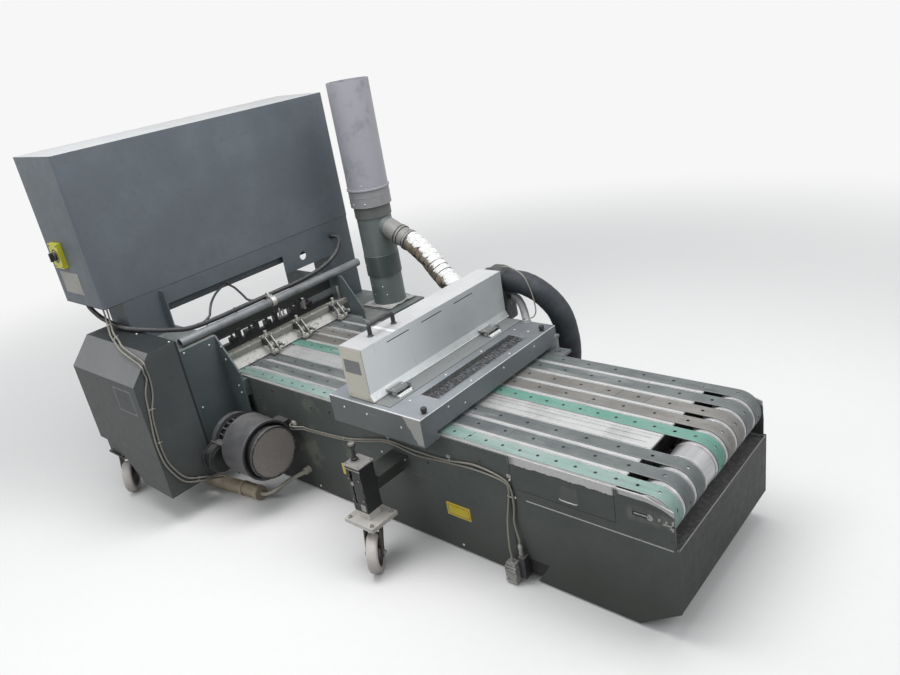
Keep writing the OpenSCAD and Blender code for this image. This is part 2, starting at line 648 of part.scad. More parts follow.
// the stack's rings, from the base up, and the branch that slopes down from it
z_ring = [670, 788, 1010, 1075, 1166];
branch_z = 990;
branch_tilt = 115;
branch_len = 282;
branch_r = 55;
stack_wall = 5;
module exhaust_stack() color([0.50, 0.50, 0.49]) place() {
  difference() {
    union() {
      rodz(z_fan + 4, z_ring[0], duct_c[0], duct_c[1], duct_d/2 - 4);
      rodz(z_ring[0], z_ring[1], duct_c[0], duct_c[1], duct_d/2 + 2);
      rodz(z_ring[1], z_ring[2], duct_c[0], duct_c[1], duct_d/2);
      rodz(z_ring[2], z_ring[3], duct_c[0], duct_c[1], duct_d/2 + 5);
      rodz(z_ring[3], z_ring[4], duct_c[0], duct_c[1], stack_d/2 + 1);
      rodz(z_ring[4], z_ring[4] + 8, duct_c[0], duct_c[1], stack_d/2 + 6);
      rodz(z_ring[4] + 8, stack_top, duct_c[0], duct_c[1], stack_d/2);
      translate([duct_c[0], duct_c[1], branch_z]) rotate([0, branch_tilt, 0]) {
        cylinder(h = branch_len, r = branch_r);
        translate([0, 0, branch_len - 77]) cylinder(h = 12, r = branch_r + 5);
        translate([0, 0, branch_len - 20]) cylinder(h = 12, r = branch_r + 5);
      }
    }
    rodz(z_ring[4] + 34, stack_top + 1, duct_c[0], duct_c[1], stack_d/2 - stack_wall);
  }
}

// box that joins the lamp head's far end to its two hoses
box_gap = 12;
box_y = y_lamp1 + box_gap;
box_w = 118;
box_x1 = x_lamp1 - 10;
module lamp_duct_box() color(dark) place() {
  bx([x_lamp0 - 10, box_y, table_h + 60], [box_x1, box_y + box_w, z_lamp + lamp_h - 6]);
  bx([x_lamp0 + 10, y_bridge1, table_h + 60], [box_x1, box_y, bridge_top - 4]);
}
branch_end = [duct_c[0] + (branch_len + gap)*sin(branch_tilt), duct_c[1],
  branch_z + (branch_len + gap)*cos(branch_tilt)];
module branch_hose() color([0.72, 0.70, 0.66]) place() {
  d = [sin(branch_tilt), 0, cos(branch_tilt)];
  e = [x_lamp0 - 10 - gap, box_y + box_w/2, 720];
  sweep(concat([branch_end], curve([branch_end + 14*d, [-1900, 1085, 800], [-1754, 1052, 690],
    [-1590, 990, 652], e - [95, -22, 16], e - [45, 0, 0]], 5), [e]), 58, 12);
}
module black_hose() color(dark) place() {
  e = [box_x1 + gap, box_y + box_w/2, 800];
  sweep(concat([e], curve([e + [14, 0, 0], e + [86, 4, -6], e + [166, 16, -48], e + [232, 34, -130],
    e + [260, 44, -240], e + [262, 40, -370], e + [228, 10, -510], e + [160, -40, -620],
    [-1105, table_w + 44, 130]], 5), [[-1105, table_w + gap, 130]]), 55, 12);
}

// two thin cables clipped along the side panel; the first ends at the metal plug
cable_r = 4;
clip_x = [-1240, -915, -632];
cable_y = -cable_r - 1.5;
plug_top = 92;
pin_top = 170;
module sensor_cables() color([0.80, 0.78, 0.70]) place() {
  y = cable_y;
  sweep(curve([[-1882, -14 - end_gap, 340], [-1882, -26, 340], [-1868, -32, 340], [-1842, -22, 341],
    [-1812, y - 1, 341], [-1760, y, 342], [-1520, y, 362], [-1383, y, 393], [-1240, y, 426],
    [-1090, y, 410], [-930, y, 424], [-783, y, 434], [-660, y, 424], [-637, y - 1, 395],
    [-646, y - 3, 330], [-655, y - 12, 250], [-649, y - 28, 160], [-642, y - 32, 110],
    [-642, y - 32, plug_top + end_gap]], 4), cable_r, 8);
  sweep(curve([[-1882, -14 - end_gap, 358], [-1882, -26, 358], [-1868, -33, 357], [-1842, -24, 355],
    [-1812, y - 1, 353], [-1760, y, 352], [-1520, y, 372], [-1383, y, 403], [-1240, y, 436],
    [-1090, y, 430], [-930, y, 434], [-783, y, 454], [-656, y, 434], [-626, y - 1, 395],
    [-622, y - 2, 330], [-630, y - 4, 260], [-620, y - 9, 212], [-612, y - 12.5, 190],
    [-612, y - 12.5, pin_top + end_gap]], 4), cable_r, 8);
}
module cable_plugs() color(bare) place() {
  // socket block on the panel, with the metal plug and the small round plug in it
  bx([-618, -34, 24], [-590, 0, 120]);
  bx([-668, -58, 4], [-618, -16, plug_top]);
  rodz(120, pin_top, -612, -18, 9);
  // gland where the cables leave the panel, and their clips
  rody(-14, 0, -1882, 348, 20);
  for (x = clip_x) bx([x - 10, -3, 442], [x + 10, 0, 458]);
}
// two thin cables from the cabinet's underside down the housing to the conduit
module housing_cables() color([0.80, 0.78, 0.70]) place() {
  x = x_house1 + cable_r + 2;
  sweep(curve([[-2700, -330, cab_z - end_gap], [-2700, -330, 950], [-2686, -336, 915], [-2640, -360, 866],
    [-2560, -392, 857], [-2480, -414, 846], [-2400, -434, 829], [-2250, -450, 808],
    [-2218, -454, 805], [x + 5, -456, 791], [x + 1, -455, 765], [x, -452, 735], [x, -478, 672],
    [x, -491, 579], [x, -506, 467], [x, -506, 383], [x, -492, 300], [x + 2, -440, 200],
    [x + 8, -345, 152], [-2226, -290, 118], [-2250, -255, 92], [-2262, -228, 77]], 4), cable_r, 8);
  sweep(curve([[-2700, -314, cab_z - end_gap], [-2700, -314, 950], [-2686, -320, 918], [-2640, -344, 872],
    [-2560, -376, 864], [-2480, -398, 857], [-2400, -420, 842], [-2250, -436, 822],
    [-2218, -440, 819], [x + 5, -442, 805], [x + 1, -441, 775], [x, -438, 735], [x, -448, 660],
    [x, -478, 579], [x, -490, 467], [x, -490, 383], [x, -476, 305], [x + 2, -426, 212],
    [x + 8, -333, 164], [-2226, -276, 128], [-2250, -241, 102], [-2262, -212, 81]], 4), cable_r, 8);
}
// the cabinet's main cable along the guide tube, and a thin one that loops up to the cable tray
module cabinet_cable() color(dark) place() {
  sweep(curve([[-2960, -290, cab_z - end_gap], [-2960, -290, 944], [-2944, -291, 912], [-2850, -298, 880],
    [-2749, -300, 864], [-2605, -300, 853], [-2444, -262, 853], [-2378, -203, 838],
    [-2368, -106, 808], [-2368, 40, 798], [-2368, 200, 798], [-2368, 370, 798], [-2368, 572, 799],
    [-2372, 719, 812], [-2402, 850, 836], [-2462, 955, 862], [-2530, 1020, 880],
    [-2580, 1034, 886], [x_cab1 + end_gap, 1034, 886]], 4), 11, 10);
  sweep(curve([[-2386.4, -60, 803], [-2386.4, -20, 801], [-2392, 20, 815], [-2404, 40, 838],
    [-2440, 78, 858], [-2510, 150, 866], [-2590, 240, 862], [-2636, 296, 852], [-2590, 306, 838],
    [-2510, 285, 827], [-2440, 262, 820], [-2402, 252, 812], [-2387, 272, 799],
    [-2386.2, 310, 798]], 4), 6, 8);
}

cabinet();
isolator_plate();
isolator_knob();
portal();
side_housing();
tower();
side_plates();
fan_box();
guide_tube();
feed_bar();
guide_bar();
holddown_rollers();
base_body();
vacuum_box();
table_plate();
front_panel();
side_cover();
back_panel();
end_plates();
end_tray();
belts_green();
belts_grey();
delivery_roller();
feed_roller();
bridge_frame();
brush_strip();
bridge_knobs();
lamp_base();
lamp_head();
lamp_handle();
jack_box();
jack_slide();
jack_fork();
jack_wheel();
side_fork();
side_wheel();
far_castors();
blower_drum();
blower_grille();
blower_motor();
conduit();
conduit_pipe();
exhaust_stack();
lamp_duct_box();
branch_hose();
black_hose();
sensor_cables();
cable_plugs();
housing_cables();
cabinet_cable();
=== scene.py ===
# %% [markdown]
# A dryer for printed sheets, dressed in Blender. The imported CAD model comes in
# first as a fixed frame, and its box is kept.

# %% Load the frame
import math
import random

import bmesh
import bpy
from mathutils import Matrix, Vector, noise


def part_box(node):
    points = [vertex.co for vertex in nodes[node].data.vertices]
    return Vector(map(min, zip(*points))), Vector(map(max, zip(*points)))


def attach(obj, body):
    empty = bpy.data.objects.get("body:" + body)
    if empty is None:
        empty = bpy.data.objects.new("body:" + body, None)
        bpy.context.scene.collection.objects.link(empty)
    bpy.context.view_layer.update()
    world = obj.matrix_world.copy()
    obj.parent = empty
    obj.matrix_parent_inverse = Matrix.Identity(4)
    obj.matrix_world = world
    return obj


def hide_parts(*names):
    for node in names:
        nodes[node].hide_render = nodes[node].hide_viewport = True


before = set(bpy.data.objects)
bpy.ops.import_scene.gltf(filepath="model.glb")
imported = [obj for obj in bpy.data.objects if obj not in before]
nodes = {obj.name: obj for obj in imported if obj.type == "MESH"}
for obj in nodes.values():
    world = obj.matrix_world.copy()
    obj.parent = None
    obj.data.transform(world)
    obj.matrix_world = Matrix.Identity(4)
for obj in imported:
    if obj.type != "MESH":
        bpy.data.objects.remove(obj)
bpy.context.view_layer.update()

# %% [markdown]
# The shop floor measures this machine from three places: the delivery end, the
# operator's side panel and the floor. The frame has its origin in the middle,
# so one small function turns workshop millimetres into the frame's metres. The
# two planes are read from the nodes themselves and so follow the CAD.

# %% Workshop millimetres
MM = 0.001
UP, FRONT, BACK, OUT = (0, 0, 1), (0, -1, 0), (0, 1, 0), (1, 0, 0)
END_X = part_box("end_tray")[1].x
SIDE_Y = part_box("front_panel")[0].y


def at(x, y, z):
    """A point in mm from the delivery end, the operator's panel and the floor."""
    return Vector((END_X + x * MM, SIDE_Y + y * MM, z * MM))


def x_at(x):
    """How far along the frame's X a distance from the delivery end lies."""
    return END_X + x * MM


def span(node):
    """A node's box in workshop millimetres."""
    low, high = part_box(node)
    return [Vector(((p.x - END_X) / MM, (p.y - SIDE_Y) / MM, p.z / MM)) for p in (low, high)]


TABLE_W = span("front_panel")[0].y * -1 + span("back_panel")[1].y
TABLE_H = span("front_panel")[1].z
print("table", round(TABLE_W), "mm wide and", round(TABLE_H), "mm high")

# %% [markdown]
# The camera stands where the photographer stood, on the operator's side near
# the delivery end, and looks down over the belts. Its direction and lens came
# from measuring the machine's straight edges. A matrix is built from the three
# directions, because that says the roll of the camera as well.

# %% Camera
forward = Vector((-0.63577, 0.66511, -0.39170)).normalized()
right = forward.cross(Vector((-0.14578, 0.39487, 0.90710))).normalized()
up = right.cross(forward)
camera_data = bpy.data.cameras.new("camera")
camera_data.sensor_width = 36
camera_data.lens = 30.106
camera_data.clip_end = 60
camera = bpy.data.objects.new("camera", camera_data)
camera.matrix_world = Matrix(
    [
        [right.x, up.x, -forward.x, 2.34206],
        [right.y, up.y, -forward.y, -2.06866],
        [right.z, up.z, -forward.z, 1.97266],
        [0, 0, 0, 1],
    ]
)
bpy.context.scene.collection.objects.link(camera)
bpy.context.scene.camera = camera
bpy.context.scene.view_settings.view_transform = "Standard"
print("camera looks along", [round(c, 3) for c in forward])

# %% [markdown]
# Shader maths reads best as plain sums. One small class wraps a socket, and its
# operators add the Math nodes. Any other node comes from a single method that
# takes the node's type, then its settings, then values or links for sockets.

# %% Sockets that can be added and multiplied
class Sock:
    """One output socket of a finish; the operators add Math nodes."""

    def __init__(self, finish, socket):
        self.finish = finish
        self.socket = socket

    def math(self, operation, *others):
        return self.finish.node("Math", {"operation": operation}, self, *others)

    def __add__(self, other):
        return self.math("ADD", other)

    def __radd__(self, other):
        return self.math("ADD", other)

    def __sub__(self, other):
        return self.math("SUBTRACT", other)

    def __rsub__(self, other):
        return self.finish.node("Math", {"operation": "SUBTRACT"}, other, self)

    def __mul__(self, other):
        return self.math("MULTIPLY", other)

    def __rmul__(self, other):
        return self.math("MULTIPLY", other)

    def __truediv__(self, other):
        return self.math("DIVIDE", other)

    def __gt__(self, other):
        return self.math("GREATER_THAN", other)

    def __lt__(self, other):
        return self.math("LESS_THAN", other)

    def __abs__(self):
        return self.math("ABSOLUTE")

    def clip(self):
        return self.finish.node("Clamp", {}, self)

    def step(self, low, high):
        """0 below low, 1 above high, and smooth between them."""
        settings = {"interpolation_type": "SMOOTHSTEP"}
        return self.finish.node("MapRange", settings, self, low, high, 0.0, 1.0)


class Finish:
    """A material that is built node by node."""

    def __init__(self, name):
        self.material = bpy.data.materials.new(name)
        self.material.use_nodes = True
        self.tree = self.material.node_tree
        self.tree.nodes.clear()

    def node(self, kind, settings=None, *values, out=0, **named):
        n = self.tree.nodes.new("ShaderNode" + kind)
        for key, value in (settings or {}).items():
            if key == "stops":
                while len(n.color_ramp.elements) > 1:
                    n.color_ramp.elements.remove(n.color_ramp.elements[0])
                for i, (place, colour) in enumerate(value):
                    stop = n.color_ramp.elements.new(place) if i else n.color_ramp.elements[0]
                    stop.position = place
                    stop.color = (*colour, 1)
            else:
                setattr(n, key, value)
        wanted = list(enumerate(values)) + [(k.replace("_", " "), v) for k, v in named.items()]
        for key, value in wanted:
            if value is None:
                continue
            socket = n.inputs[key]
            if isinstance(value, Sock):
                self.tree.links.new(value.socket, socket)
            elif isinstance(value, (int, float)) and socket.type in ("RGBA", "VECTOR"):
                socket.default_value = [value] * len(socket.default_value)
            elif socket.type == "RGBA" and len(value) == 3:
                socket.default_value = (*value, 1)
            else:
                socket.default_value = value
        return Sock(self, n.outputs[out]) if n.outputs else n

    def place(self):
        """Where a surface point is, in the frame's metres."""
        return self.node("TexCoord", out="Object")

    def xyz(self):
        n = self.node("SeparateXYZ", {}, self.place()).socket.node
        return [Sock(self, s) for s in n.outputs]

    def facing(self):
        """The surface's direction, as three sockets."""
        n = self.node("SeparateXYZ", {}, self.node("NewGeometry", out="Normal")).socket.node
        return [Sock(self, s) for s in n.outputs]

    def noise(self, scale, detail=4, rough=0.55, stretch=(1, 1, 1), offset=(0, 0, 0)):
        where = self.node("Mapping", {}, self.place(), offset, None, stretch)
        return self.node("TexNoise", {}, where, None, scale, detail, rough)

    def mix(self, share, a, b):
        """Colour a, turned towards colour b by a share from 0 to 1."""
        n = self.tree.nodes.new("ShaderNodeMix")
        n.data_type = "RGBA"
        for socket, value in ((n.inputs[0], share), (n.inputs[6], a), (n.inputs[7], b)):
            if isinstance(value, Sock):
                self.tree.links.new(value.socket, socket)
            elif isinstance(value, (int, float)) and socket.type == "RGBA":
                socket.default_value = (value, value, value, 1)
            elif socket.type == "RGBA":
                socket.default_value = (*value, 1)
            else:
                socket.default_value = value
        return Sock(self, n.outputs[2])

    def edges(self, radius):
        """1 on sharp edges, falling to 0 about one radius away from them."""
        soft = self.node("Bevel", {"samples": 4}, radius)
        flat = self.node("NewGeometry", out="Normal")
        dot = self.node("VectorMath", {"operation": "DOT_PRODUCT"}, soft, flat, out="Value")
        return (1 - dot).step(0.02, 0.22)

    def surface(self, colour, rough, metal=0.0, height=None, depth=0.001, coat=0.0, round_by=0.0,
                specular=0.5):
        """Joins everything in one surface shader and ends the material."""
        normal = None
        if round_by:
            normal = self.node("Bevel", {"samples": 4}, round_by)
        if height is not None:
            normal = self.node("Bump", {}, 1.0, depth, Height=height, Normal=normal)
        shader = self.node("BsdfPrincipled", {})
        n = shader.socket.node
        for key, value in (
            ("Base Color", colour),
            ("Roughness", rough),
            ("Metallic", metal),
            ("Coat Weight", coat),
            ("Normal", normal),
            ("Specular IOR Level", specular),
        ):
            if isinstance(value, Sock):
                self.tree.links.new(value.socket, n.inputs[key])
            elif value is not None:
                socket = n.inputs[key]
                socket.default_value = (*value, 1) if key == "Base Color" else value
        self.node("OutputMaterial", {}, shader)
        return self.material

    def band(self, value, low, high, soft=0.0008):
        """1 where a value lies between two limits, with a soft border."""
        return value.step(low - soft, low + soft) * (1 - value.step(high - soft, high + soft))


print("shader helpers ready")

# %% [markdown]
# Most of the machine wears the same structured grey paint. It is a sprayed,
# slightly pebbled coat that has been handled for years: mottled by grease, a
# little paler with dust where it faces up, and rubbed to bare metal on edges.
# One function paints them all, with the shade and the amounts as its values.

# %% Painted sheet metal
BARE_STEEL = (0.50, 0.49, 0.47)
DUST = (0.36, 0.35, 0.32)


def painted(name, colour, rough=0.5, dust=0.35, worn=0.5, grain=520, depth=0.0003, round_by=0.0015,
            streaks=0.12, extra=None, specular=0.5):
    f = Finish(name)
    dark = tuple(c * 0.72 for c in colour)
    light = tuple(min(1, c * 1.18 + 0.01) for c in colour)
    clouds = f.noise(3.1, 5, 0.6)
    spots = f.noise(38, 4, 0.7)
    base = f.mix(clouds.step(0.35, 0.72), colour, light)
    base = f.mix(spots.step(0.52, 0.78) * 0.5, base, dark)
    runs = f.noise(14, 3, 0.6, stretch=(1, 1, 0.08))
    base = f.mix(runs.step(0.55, 0.8) * streaks, base, dark)
    up_face = f.facing()[2].step(0.55, 0.95)
    settled = up_face * f.noise(9, 6, 0.65).step(0.25, 0.75) * dust
    base = f.mix(settled, base, DUST)
    scratch = f.noise(60, 2, 0.5, stretch=(0.06, 1.4, 1.1)).step(0.70, 0.76)
    scratch = scratch * f.noise(4, 2).step(0.5, 0.62) * 0.5
    chips = f.edges(0.004) * f.noise(70, 5, 0.75).step(0.50, 0.60) * worn
    bare = (scratch * worn * 0.6 + chips).clip()
    base = f.mix(bare, base, BARE_STEEL)
    rough_map = (f.noise(24, 4, 0.6) * 0.22 + (rough - 0.11) + settled * 0.3).clip()
    pebbles = f.noise(grain, 2, 0.5) + spots * 0.6 - bare * 0.8
    if extra:
        base, rough_map, bare = extra(f, base, rough_map, bare)
    return f.surface(base, rough_map, bare * 0.55, pebbles, depth, round_by=round_by, specular=specular)


# %% [markdown]
# The rolled and ground pieces are bare metal: the belt table, the rollers, the
# pipe over the entry and the zinc plated fittings. Brushing shows as long thin
# streaks along one direction, which is noise stretched that way.

# %% Bare metal
def bare_metal(name, colour, rough=0.35, brushed=(0.04, 1, 1), metal=0.85, stain=0.4, round_by=0.001,
               dirt=(0.16, 0.15, 0.14)):
    f = Finish(name)
    grain = f.noise(220, 3, 0.6, stretch=brushed)
    clouds = f.noise(7, 5, 0.65)
    marks = f.noise(45, 5, 0.7)
    base = f.mix(grain.step(0.3, 0.7) * 0.5, colour, tuple(c * 0.72 for c in colour))
    base = f.mix(clouds.step(0.45, 0.75) * stain, base, dirt)
    base = f.mix(marks.step(0.56, 0.72) * stain * 0.7, base, tuple(c * 0.5 for c in colour))
    rough_map = (grain * 0.18 + clouds * 0.3 + (rough - 0.2)).clip()
    shiny = (1 - clouds.step(0.5, 0.8) * 0.5) * metal
    return f.surface(base, rough_map, shiny, grain + marks * 0.4, 0.0002, round_by=round_by)


# %% [markdown]
# Plastic and rubber are told apart by gloss and grain. Both get a fine moulded
# skin, finger grease and a little pale dust in the low places.

# %% Plastic and rubber
def moulded(name, colour, rough=0.45, grain=900, depth=0.0001, dust=0.25, round_by=0.0008,
            dust_colour=(0.34, 0.33, 0.31)):
    f = Finish(name)
    clouds = f.noise(6, 5, 0.6)
    marks = f.noise(60, 4, 0.7)
    base = f.mix(clouds.step(0.4, 0.75), colour, tuple(c * 0.78 for c in colour))
    up_face = f.facing()[2].step(0.1, 0.95) * 0.7 + 0.3
    base = f.mix(up_face * marks.step(0.42, 0.72) * dust, base, dust_colour)
    rough_map = (marks * 0.25 + clouds * 0.15 + (rough - 0.2)).clip()
    height = f.noise(grain, 2, 0.5) + marks * 0.5
    return f.surface(base, rough_map, 0.0, height, depth, round_by=round_by)


print("finish recipes: painted, bare_metal, moulded")

# %% [markdown]
# A CAD node keeps its shape and gets its finish in its material slots. The
# greys are the colours the photograph shows in even light, put down as linear
# values.

# %% Paints of the big bodies
def face_side(f, toward, low=0.5, high=0.8):
    """1 on faces that look a given way, such as (0, -1, 0)."""
    nx, ny, nz = f.facing()
    return (nx * toward[0] + ny * toward[1] + nz * toward[2]).step(low, high)


def cabinet_marks(f, base, rough_map, bare):
    """A top painted pale, partly dust and partly a painted highlight from above, and the door gaps and lock discs of
    the back.
    """
    x, y, z = f.xyz()
    low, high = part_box("cabinet")
    # The top is painted pale: partly dust, partly a painted highlight where light from above falls.
    top = face_side(f, UP) * (f.noise(7, 5, 0.6) * 0.4 + 0.6).clip()
    base = f.mix(top, base, (0.42, 0.425, 0.43))
    back = face_side(f, (-1, 0, 0))
    middle = (low.y + high.y) / 2
    gap = 0
    for place in (low.y + 0.026, middle, high.y - 0.026):
        gap = f.band(y, place - 0.0012, place + 0.0012) + gap
    for place in (low.z + 0.024, high.z - 0.024):
        gap = f.band(z, place - 0.0012, place + 0.0012) + gap
    gap = gap * f.band(y, low.y + 0.025, high.y - 0.025) * f.band(z, low.z + 0.023, high.z - 0.023)
    lock = 0
    for side in (-0.05, 0.05):
        away = (y - (middle + side)) * (y - (middle + side))
        for place in (0.25, 0.75):
            tall = z - (low.z + (high.z - low.z) * place)
            lock = (away + tall * tall < 0.00028) + lock
    base = f.mix((gap * back).clip(), base, (0.008, 0.008, 0.008))
    base = f.mix((lock * back).clip(), base, (0.30, 0.30, 0.29))
    return base, rough_map, bare


def housing_marks(f, base, rough_map, bare):
    """Pale dust and a painted sheen on the slopes, painted shade low down, on the top and in front, and a blank plate
    with a thin rim.
    """
    x, y, z = f.xyz()
    nx, ny, nz = f.facing()
    # The slopes are paler: partly dust, partly a painted sheen from light above.
    slope_dust_and_sheen = f.band(nz, 0.35, 0.85, 0.05) * (0.55 + f.noise(5, 5, 0.6) * 0.5)
    base = f.mix((slope_dust_and_sheen * 0.62).clip(), base, (0.34, 0.345, 0.36))
    # Painted shade: the housing gets darker towards the floor.
    low = 1 - z.step(0.15, 0.55)
    base = f.mix(low * 0.35, base, (0.028, 0.027, 0.024))
    # Painted shadow: the top is darkened where the cabinet shades it.
    base = f.mix(face_side(f, UP, 0.9, 0.98) * 0.92, base, (0.011, 0.015, 0.017))
    # Painted shade: the front faces are darkened; the same mask also holds the blank plate.
    side = face_side(f, FRONT)
    base = f.mix(side * 0.45, base, (0.014, 0.015, 0.012))
    a, b = at(-2420, 0, 570), at(-2262, 0, 690)
    rim = f.band(x, a.x, b.x) * f.band(z, a.z, b.z) * side
    plate = f.band(x, a.x + 0.005, b.x - 0.005) * f.band(z, a.z + 0.005, b.z - 0.005) * side
    base = f.mix(rim, base, (0.19, 0.195, 0.20))
    base = f.mix(plate, base, (0.036, 0.039, 0.045))
    return base, rough_map, bare


def bridge_marks(f, base, rough_map, bare):
    """Edges rubbed white by hands, a pale scuffed corner on the operator's side, and a top painted lighter towards
    the operator, partly scuffs and partly a painted sheen.
    """
    x, y, z = f.xyz()
    grit = f.noise(60, 5, 0.75)
    low, high = at(-1434, -92, 0), at(-934, 0, TABLE_H + 110)
    top_edge = (z + grit * 0.004).step(high.z - 0.0015, high.z + 0.0005)
    near = (1 - (y - grit * 0.006).step(low.y + 0.001, low.y + 0.004)) * z.step(high.z - 0.003, high.z - 0.001)
    out = (x + grit * 0.006).step(high.x - 0.001, high.x + 0.002) * z.step(high.z - 0.003, high.z - 0.001)
    side = face_side(f, FRONT)
    reach = x_at(-1026) + (high.z - z) * 0.55
    patch = (x + f.noise(40, 4, 0.7) * 0.03 - 0.015 > reach) * side * z.step(0.535, 0.545) * (0.4 + grit)
    edge = ((near + out + top_edge * side * 0.7) * grit.step(0.25, 0.45)).clip()
    # The top is lighter towards the operator: partly scuffs, partly a painted sheen of the light above.
    near_scuff_and_sheen = f.mix(y.step(low.y, low.y + 0.75), (0.29, 0.31, 0.335), (0.10, 0.11, 0.125))
    base = f.mix(face_side(f, UP) * 0.5, base, near_scuff_and_sheen)
    base = f.mix(side * 0.5, base, (0.085, 0.095, 0.085))
    base = f.mix((patch * 1.2).clip(), base, (0.34, 0.335, 0.32))
    base = f.mix(edge, base, (0.62, 0.63, 0.63))
    return base, (rough_map - edge * 0.1).clip(), (bare + edge * 0.3).clip()


def cream_marks(f, base, rough_map, bare):
    """The sloping sheets are wiped clean by paper, the bar and brackets are greasy."""
    nx, ny, nz = f.facing()
    base = f.mix(f.band(nz, 0.35, 0.93, 0.03) * 0.85, base, (0.56, 0.55, 0.52))
    grime = f.noise(48, 5, 0.75).step(0.52, 0.66) * 0.6
    return f.mix(grime, base, (0.045, 0.043, 0.038)), rough_map, bare


cabinet_paint = painted("cabinet paint", (0.090, 0.106, 0.123), 0.52, dust=0.5, worn=0.25, streaks=0.05,
                        extra=cabinet_marks)
portal_paint = painted("portal paint", (0.083, 0.098, 0.109), 0.5, dust=0.4, worn=0.4)
tower_paint = painted("tower paint", (0.074, 0.091, 0.095), 0.5, dust=0.45, worn=0.45)
housing_paint = painted("housing paint", (0.062, 0.069, 0.071), 0.48, dust=0.15, worn=0.5, extra=housing_marks,
                        specular=0.38)
bridge_paint = painted("bridge paint", (0.105, 0.118, 0.126), 0.42, dust=0.35, worn=0.9, extra=bridge_marks)


def jack_marks(f, base, rough_map, bare):
    """The arm that carries the jack has the dusty grey of the side panel."""
    x, y, z = f.xyz()
    arm = y.step(at(0, -165, 0).y, at(0, -160, 0).y)
    return f.mix(arm, base, (0.062, 0.068, 0.062)), rough_map, bare


jack_paint = painted("jack paint", (0.015, 0.0155, 0.017), 0.45, dust=0.3, worn=0.5, extra=jack_marks, specular=0.35)
black_paint = painted("black paint", (0.017, 0.0175, 0.019), 0.45, dust=0.25, worn=0.4)
cream_paint = painted("cream paint", (0.20, 0.197, 0.178), 0.5, dust=0.1, worn=0.6, streaks=0.4, extra=cream_marks)
stack_grey = painted("stack grey", (0.085, 0.090, 0.086), 0.55, dust=0.2, worn=0.1, depth=0.0001)


def wear_and_shade_of_panel(f, base, rough_map, bare):
    """Bare rubbed patches along the top edge, a bright line where the cover ends, and painted shade low down and on
    faces that look out of the delivery end.
    """
    x, y, z = f.xyz()
    rag = f.noise(26, 5, 0.75)
    fine = f.noise(120, 4, 0.7)
    low = at(0, 0, TABLE_H - 33).z
    top_band = (z + rag * 0.022 + fine * 0.006 - 0.014).math("GREATER_THAN", low)
    along = x.step(x_at(-640), x_at(-590)) * (1 - x.step(x_at(-225), x_at(-205)))
    patch = top_band * along
    rim = (z + fine * 0.010).math("GREATER_THAN", at(0, 0, TABLE_H).z - 0.0005)
    patch = (patch + rim * 0.7).clip()
    drop = (x - x_at(-110)).clip() / 0.095
    curve = at(0, 0, TABLE_H).z - drop * drop * 0.029
    ends = (z - curve + 0.016 + rag * 0.006).step(-0.001, 0.001) * x.step(x_at(-205), x_at(-190))
    under = (z + rag * 0.022 + fine * 0.006 - 0.010 > low) * along
    base = f.mix(under * 0.6, base, (0.03, 0.03, 0.028))
    patch = (patch + ends * 0.85).clip()
    base = f.mix(patch, base, f.mix(fine, (0.60, 0.60, 0.59), (0.36, 0.36, 0.35)))
    line = f.band(z + (fine - 0.5) * 0.003, 0.3625, 0.3672) * f.band(x, x_at(-569), x_at(-18))
    base = f.mix(line * fine.step(0.25, 0.45), base, (0.62, 0.61, 0.60))
    # Painted shade: the panels get darker towards the floor.
    base = f.mix((1 - z.step(0.04, 0.40)) * 0.5, base, (0.030, 0.029, 0.026))
    base = f.mix(x.step(x_at(-1100), x_at(-100)) * (1 - patch) * 0.25, base, (0.018, 0.017, 0.015))
    # Painted shade: faces that look out of the delivery end are darkened below the tray's rim.
    base = f.mix(face_side(f, OUT) * (1 - z.step(0.37, 0.40)) * 0.85, base, (0.008, 0.008, 0.008))
    smear = f.band(x, x_at(-170), x_at(-8), 0.01) * f.band(z, 0.44, 0.49, 0.012) * rag.step(0.35, 0.6)
    base = f.mix(smear * 0.45, base, (0.20, 0.20, 0.19))
    grease = f.noise(5.5, 4, 0.6).step(0.56, 0.66) * (1 - x.step(x_at(-1500), x_at(-1480)))
    base = f.mix(grease * 0.28, base, (0.24, 0.24, 0.19))
    return base, (rough_map - patch * 0.12).clip(), (bare + patch * 0.6).clip()


panel_paint = painted("panel paint", (0.069, 0.079, 0.073), 0.5, dust=0.3, worn=0.5, extra=wear_and_shade_of_panel,
                      specular=0.28)
print("paints ready")

# %% [markdown]
# Small parts are built from outlines and paths. Four helpers make nearly all of
# them: a bevelled block, a solid turned from a profile, a tube along a path and
# a flat outline pushed out to a thickness. Every mesh is made in the frame's own
# coordinates, so a piece needs no later placing.

# %% Mesh helpers
def piece(name, build, finish, body="machine", smooth=True, covers=(), bevel=0.0):
    """Runs a mesh builder and hands the finished piece to a CAD body."""
    mesh = bpy.data.meshes.new(name)
    bm = bmesh.new()
    build(bm)
    bmesh.ops.recalc_face_normals(bm, faces=bm.faces)
    bm.to_mesh(mesh)
    bm.free()
    if smooth:
        mesh.polygons.foreach_set("use_smooth", [True] * len(mesh.polygons))
        mesh.set_sharp_from_angle(angle=math.radians(38))
    thing = bpy.data.objects.new(name, mesh)
    bpy.context.scene.collection.objects.link(thing)
    if bevel:
        m = thing.modifiers.new("soft edges", "BEVEL")
        m.width = bevel
        m.segments = 2
        m.limit_method = "ANGLE"
        m.angle_limit = math.radians(40)
    for material in finish if isinstance(finish, (list, tuple)) else [finish]:
        mesh.materials.append(material)
    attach(thing, body)
    if covers:
        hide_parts(*covers)
    return thing


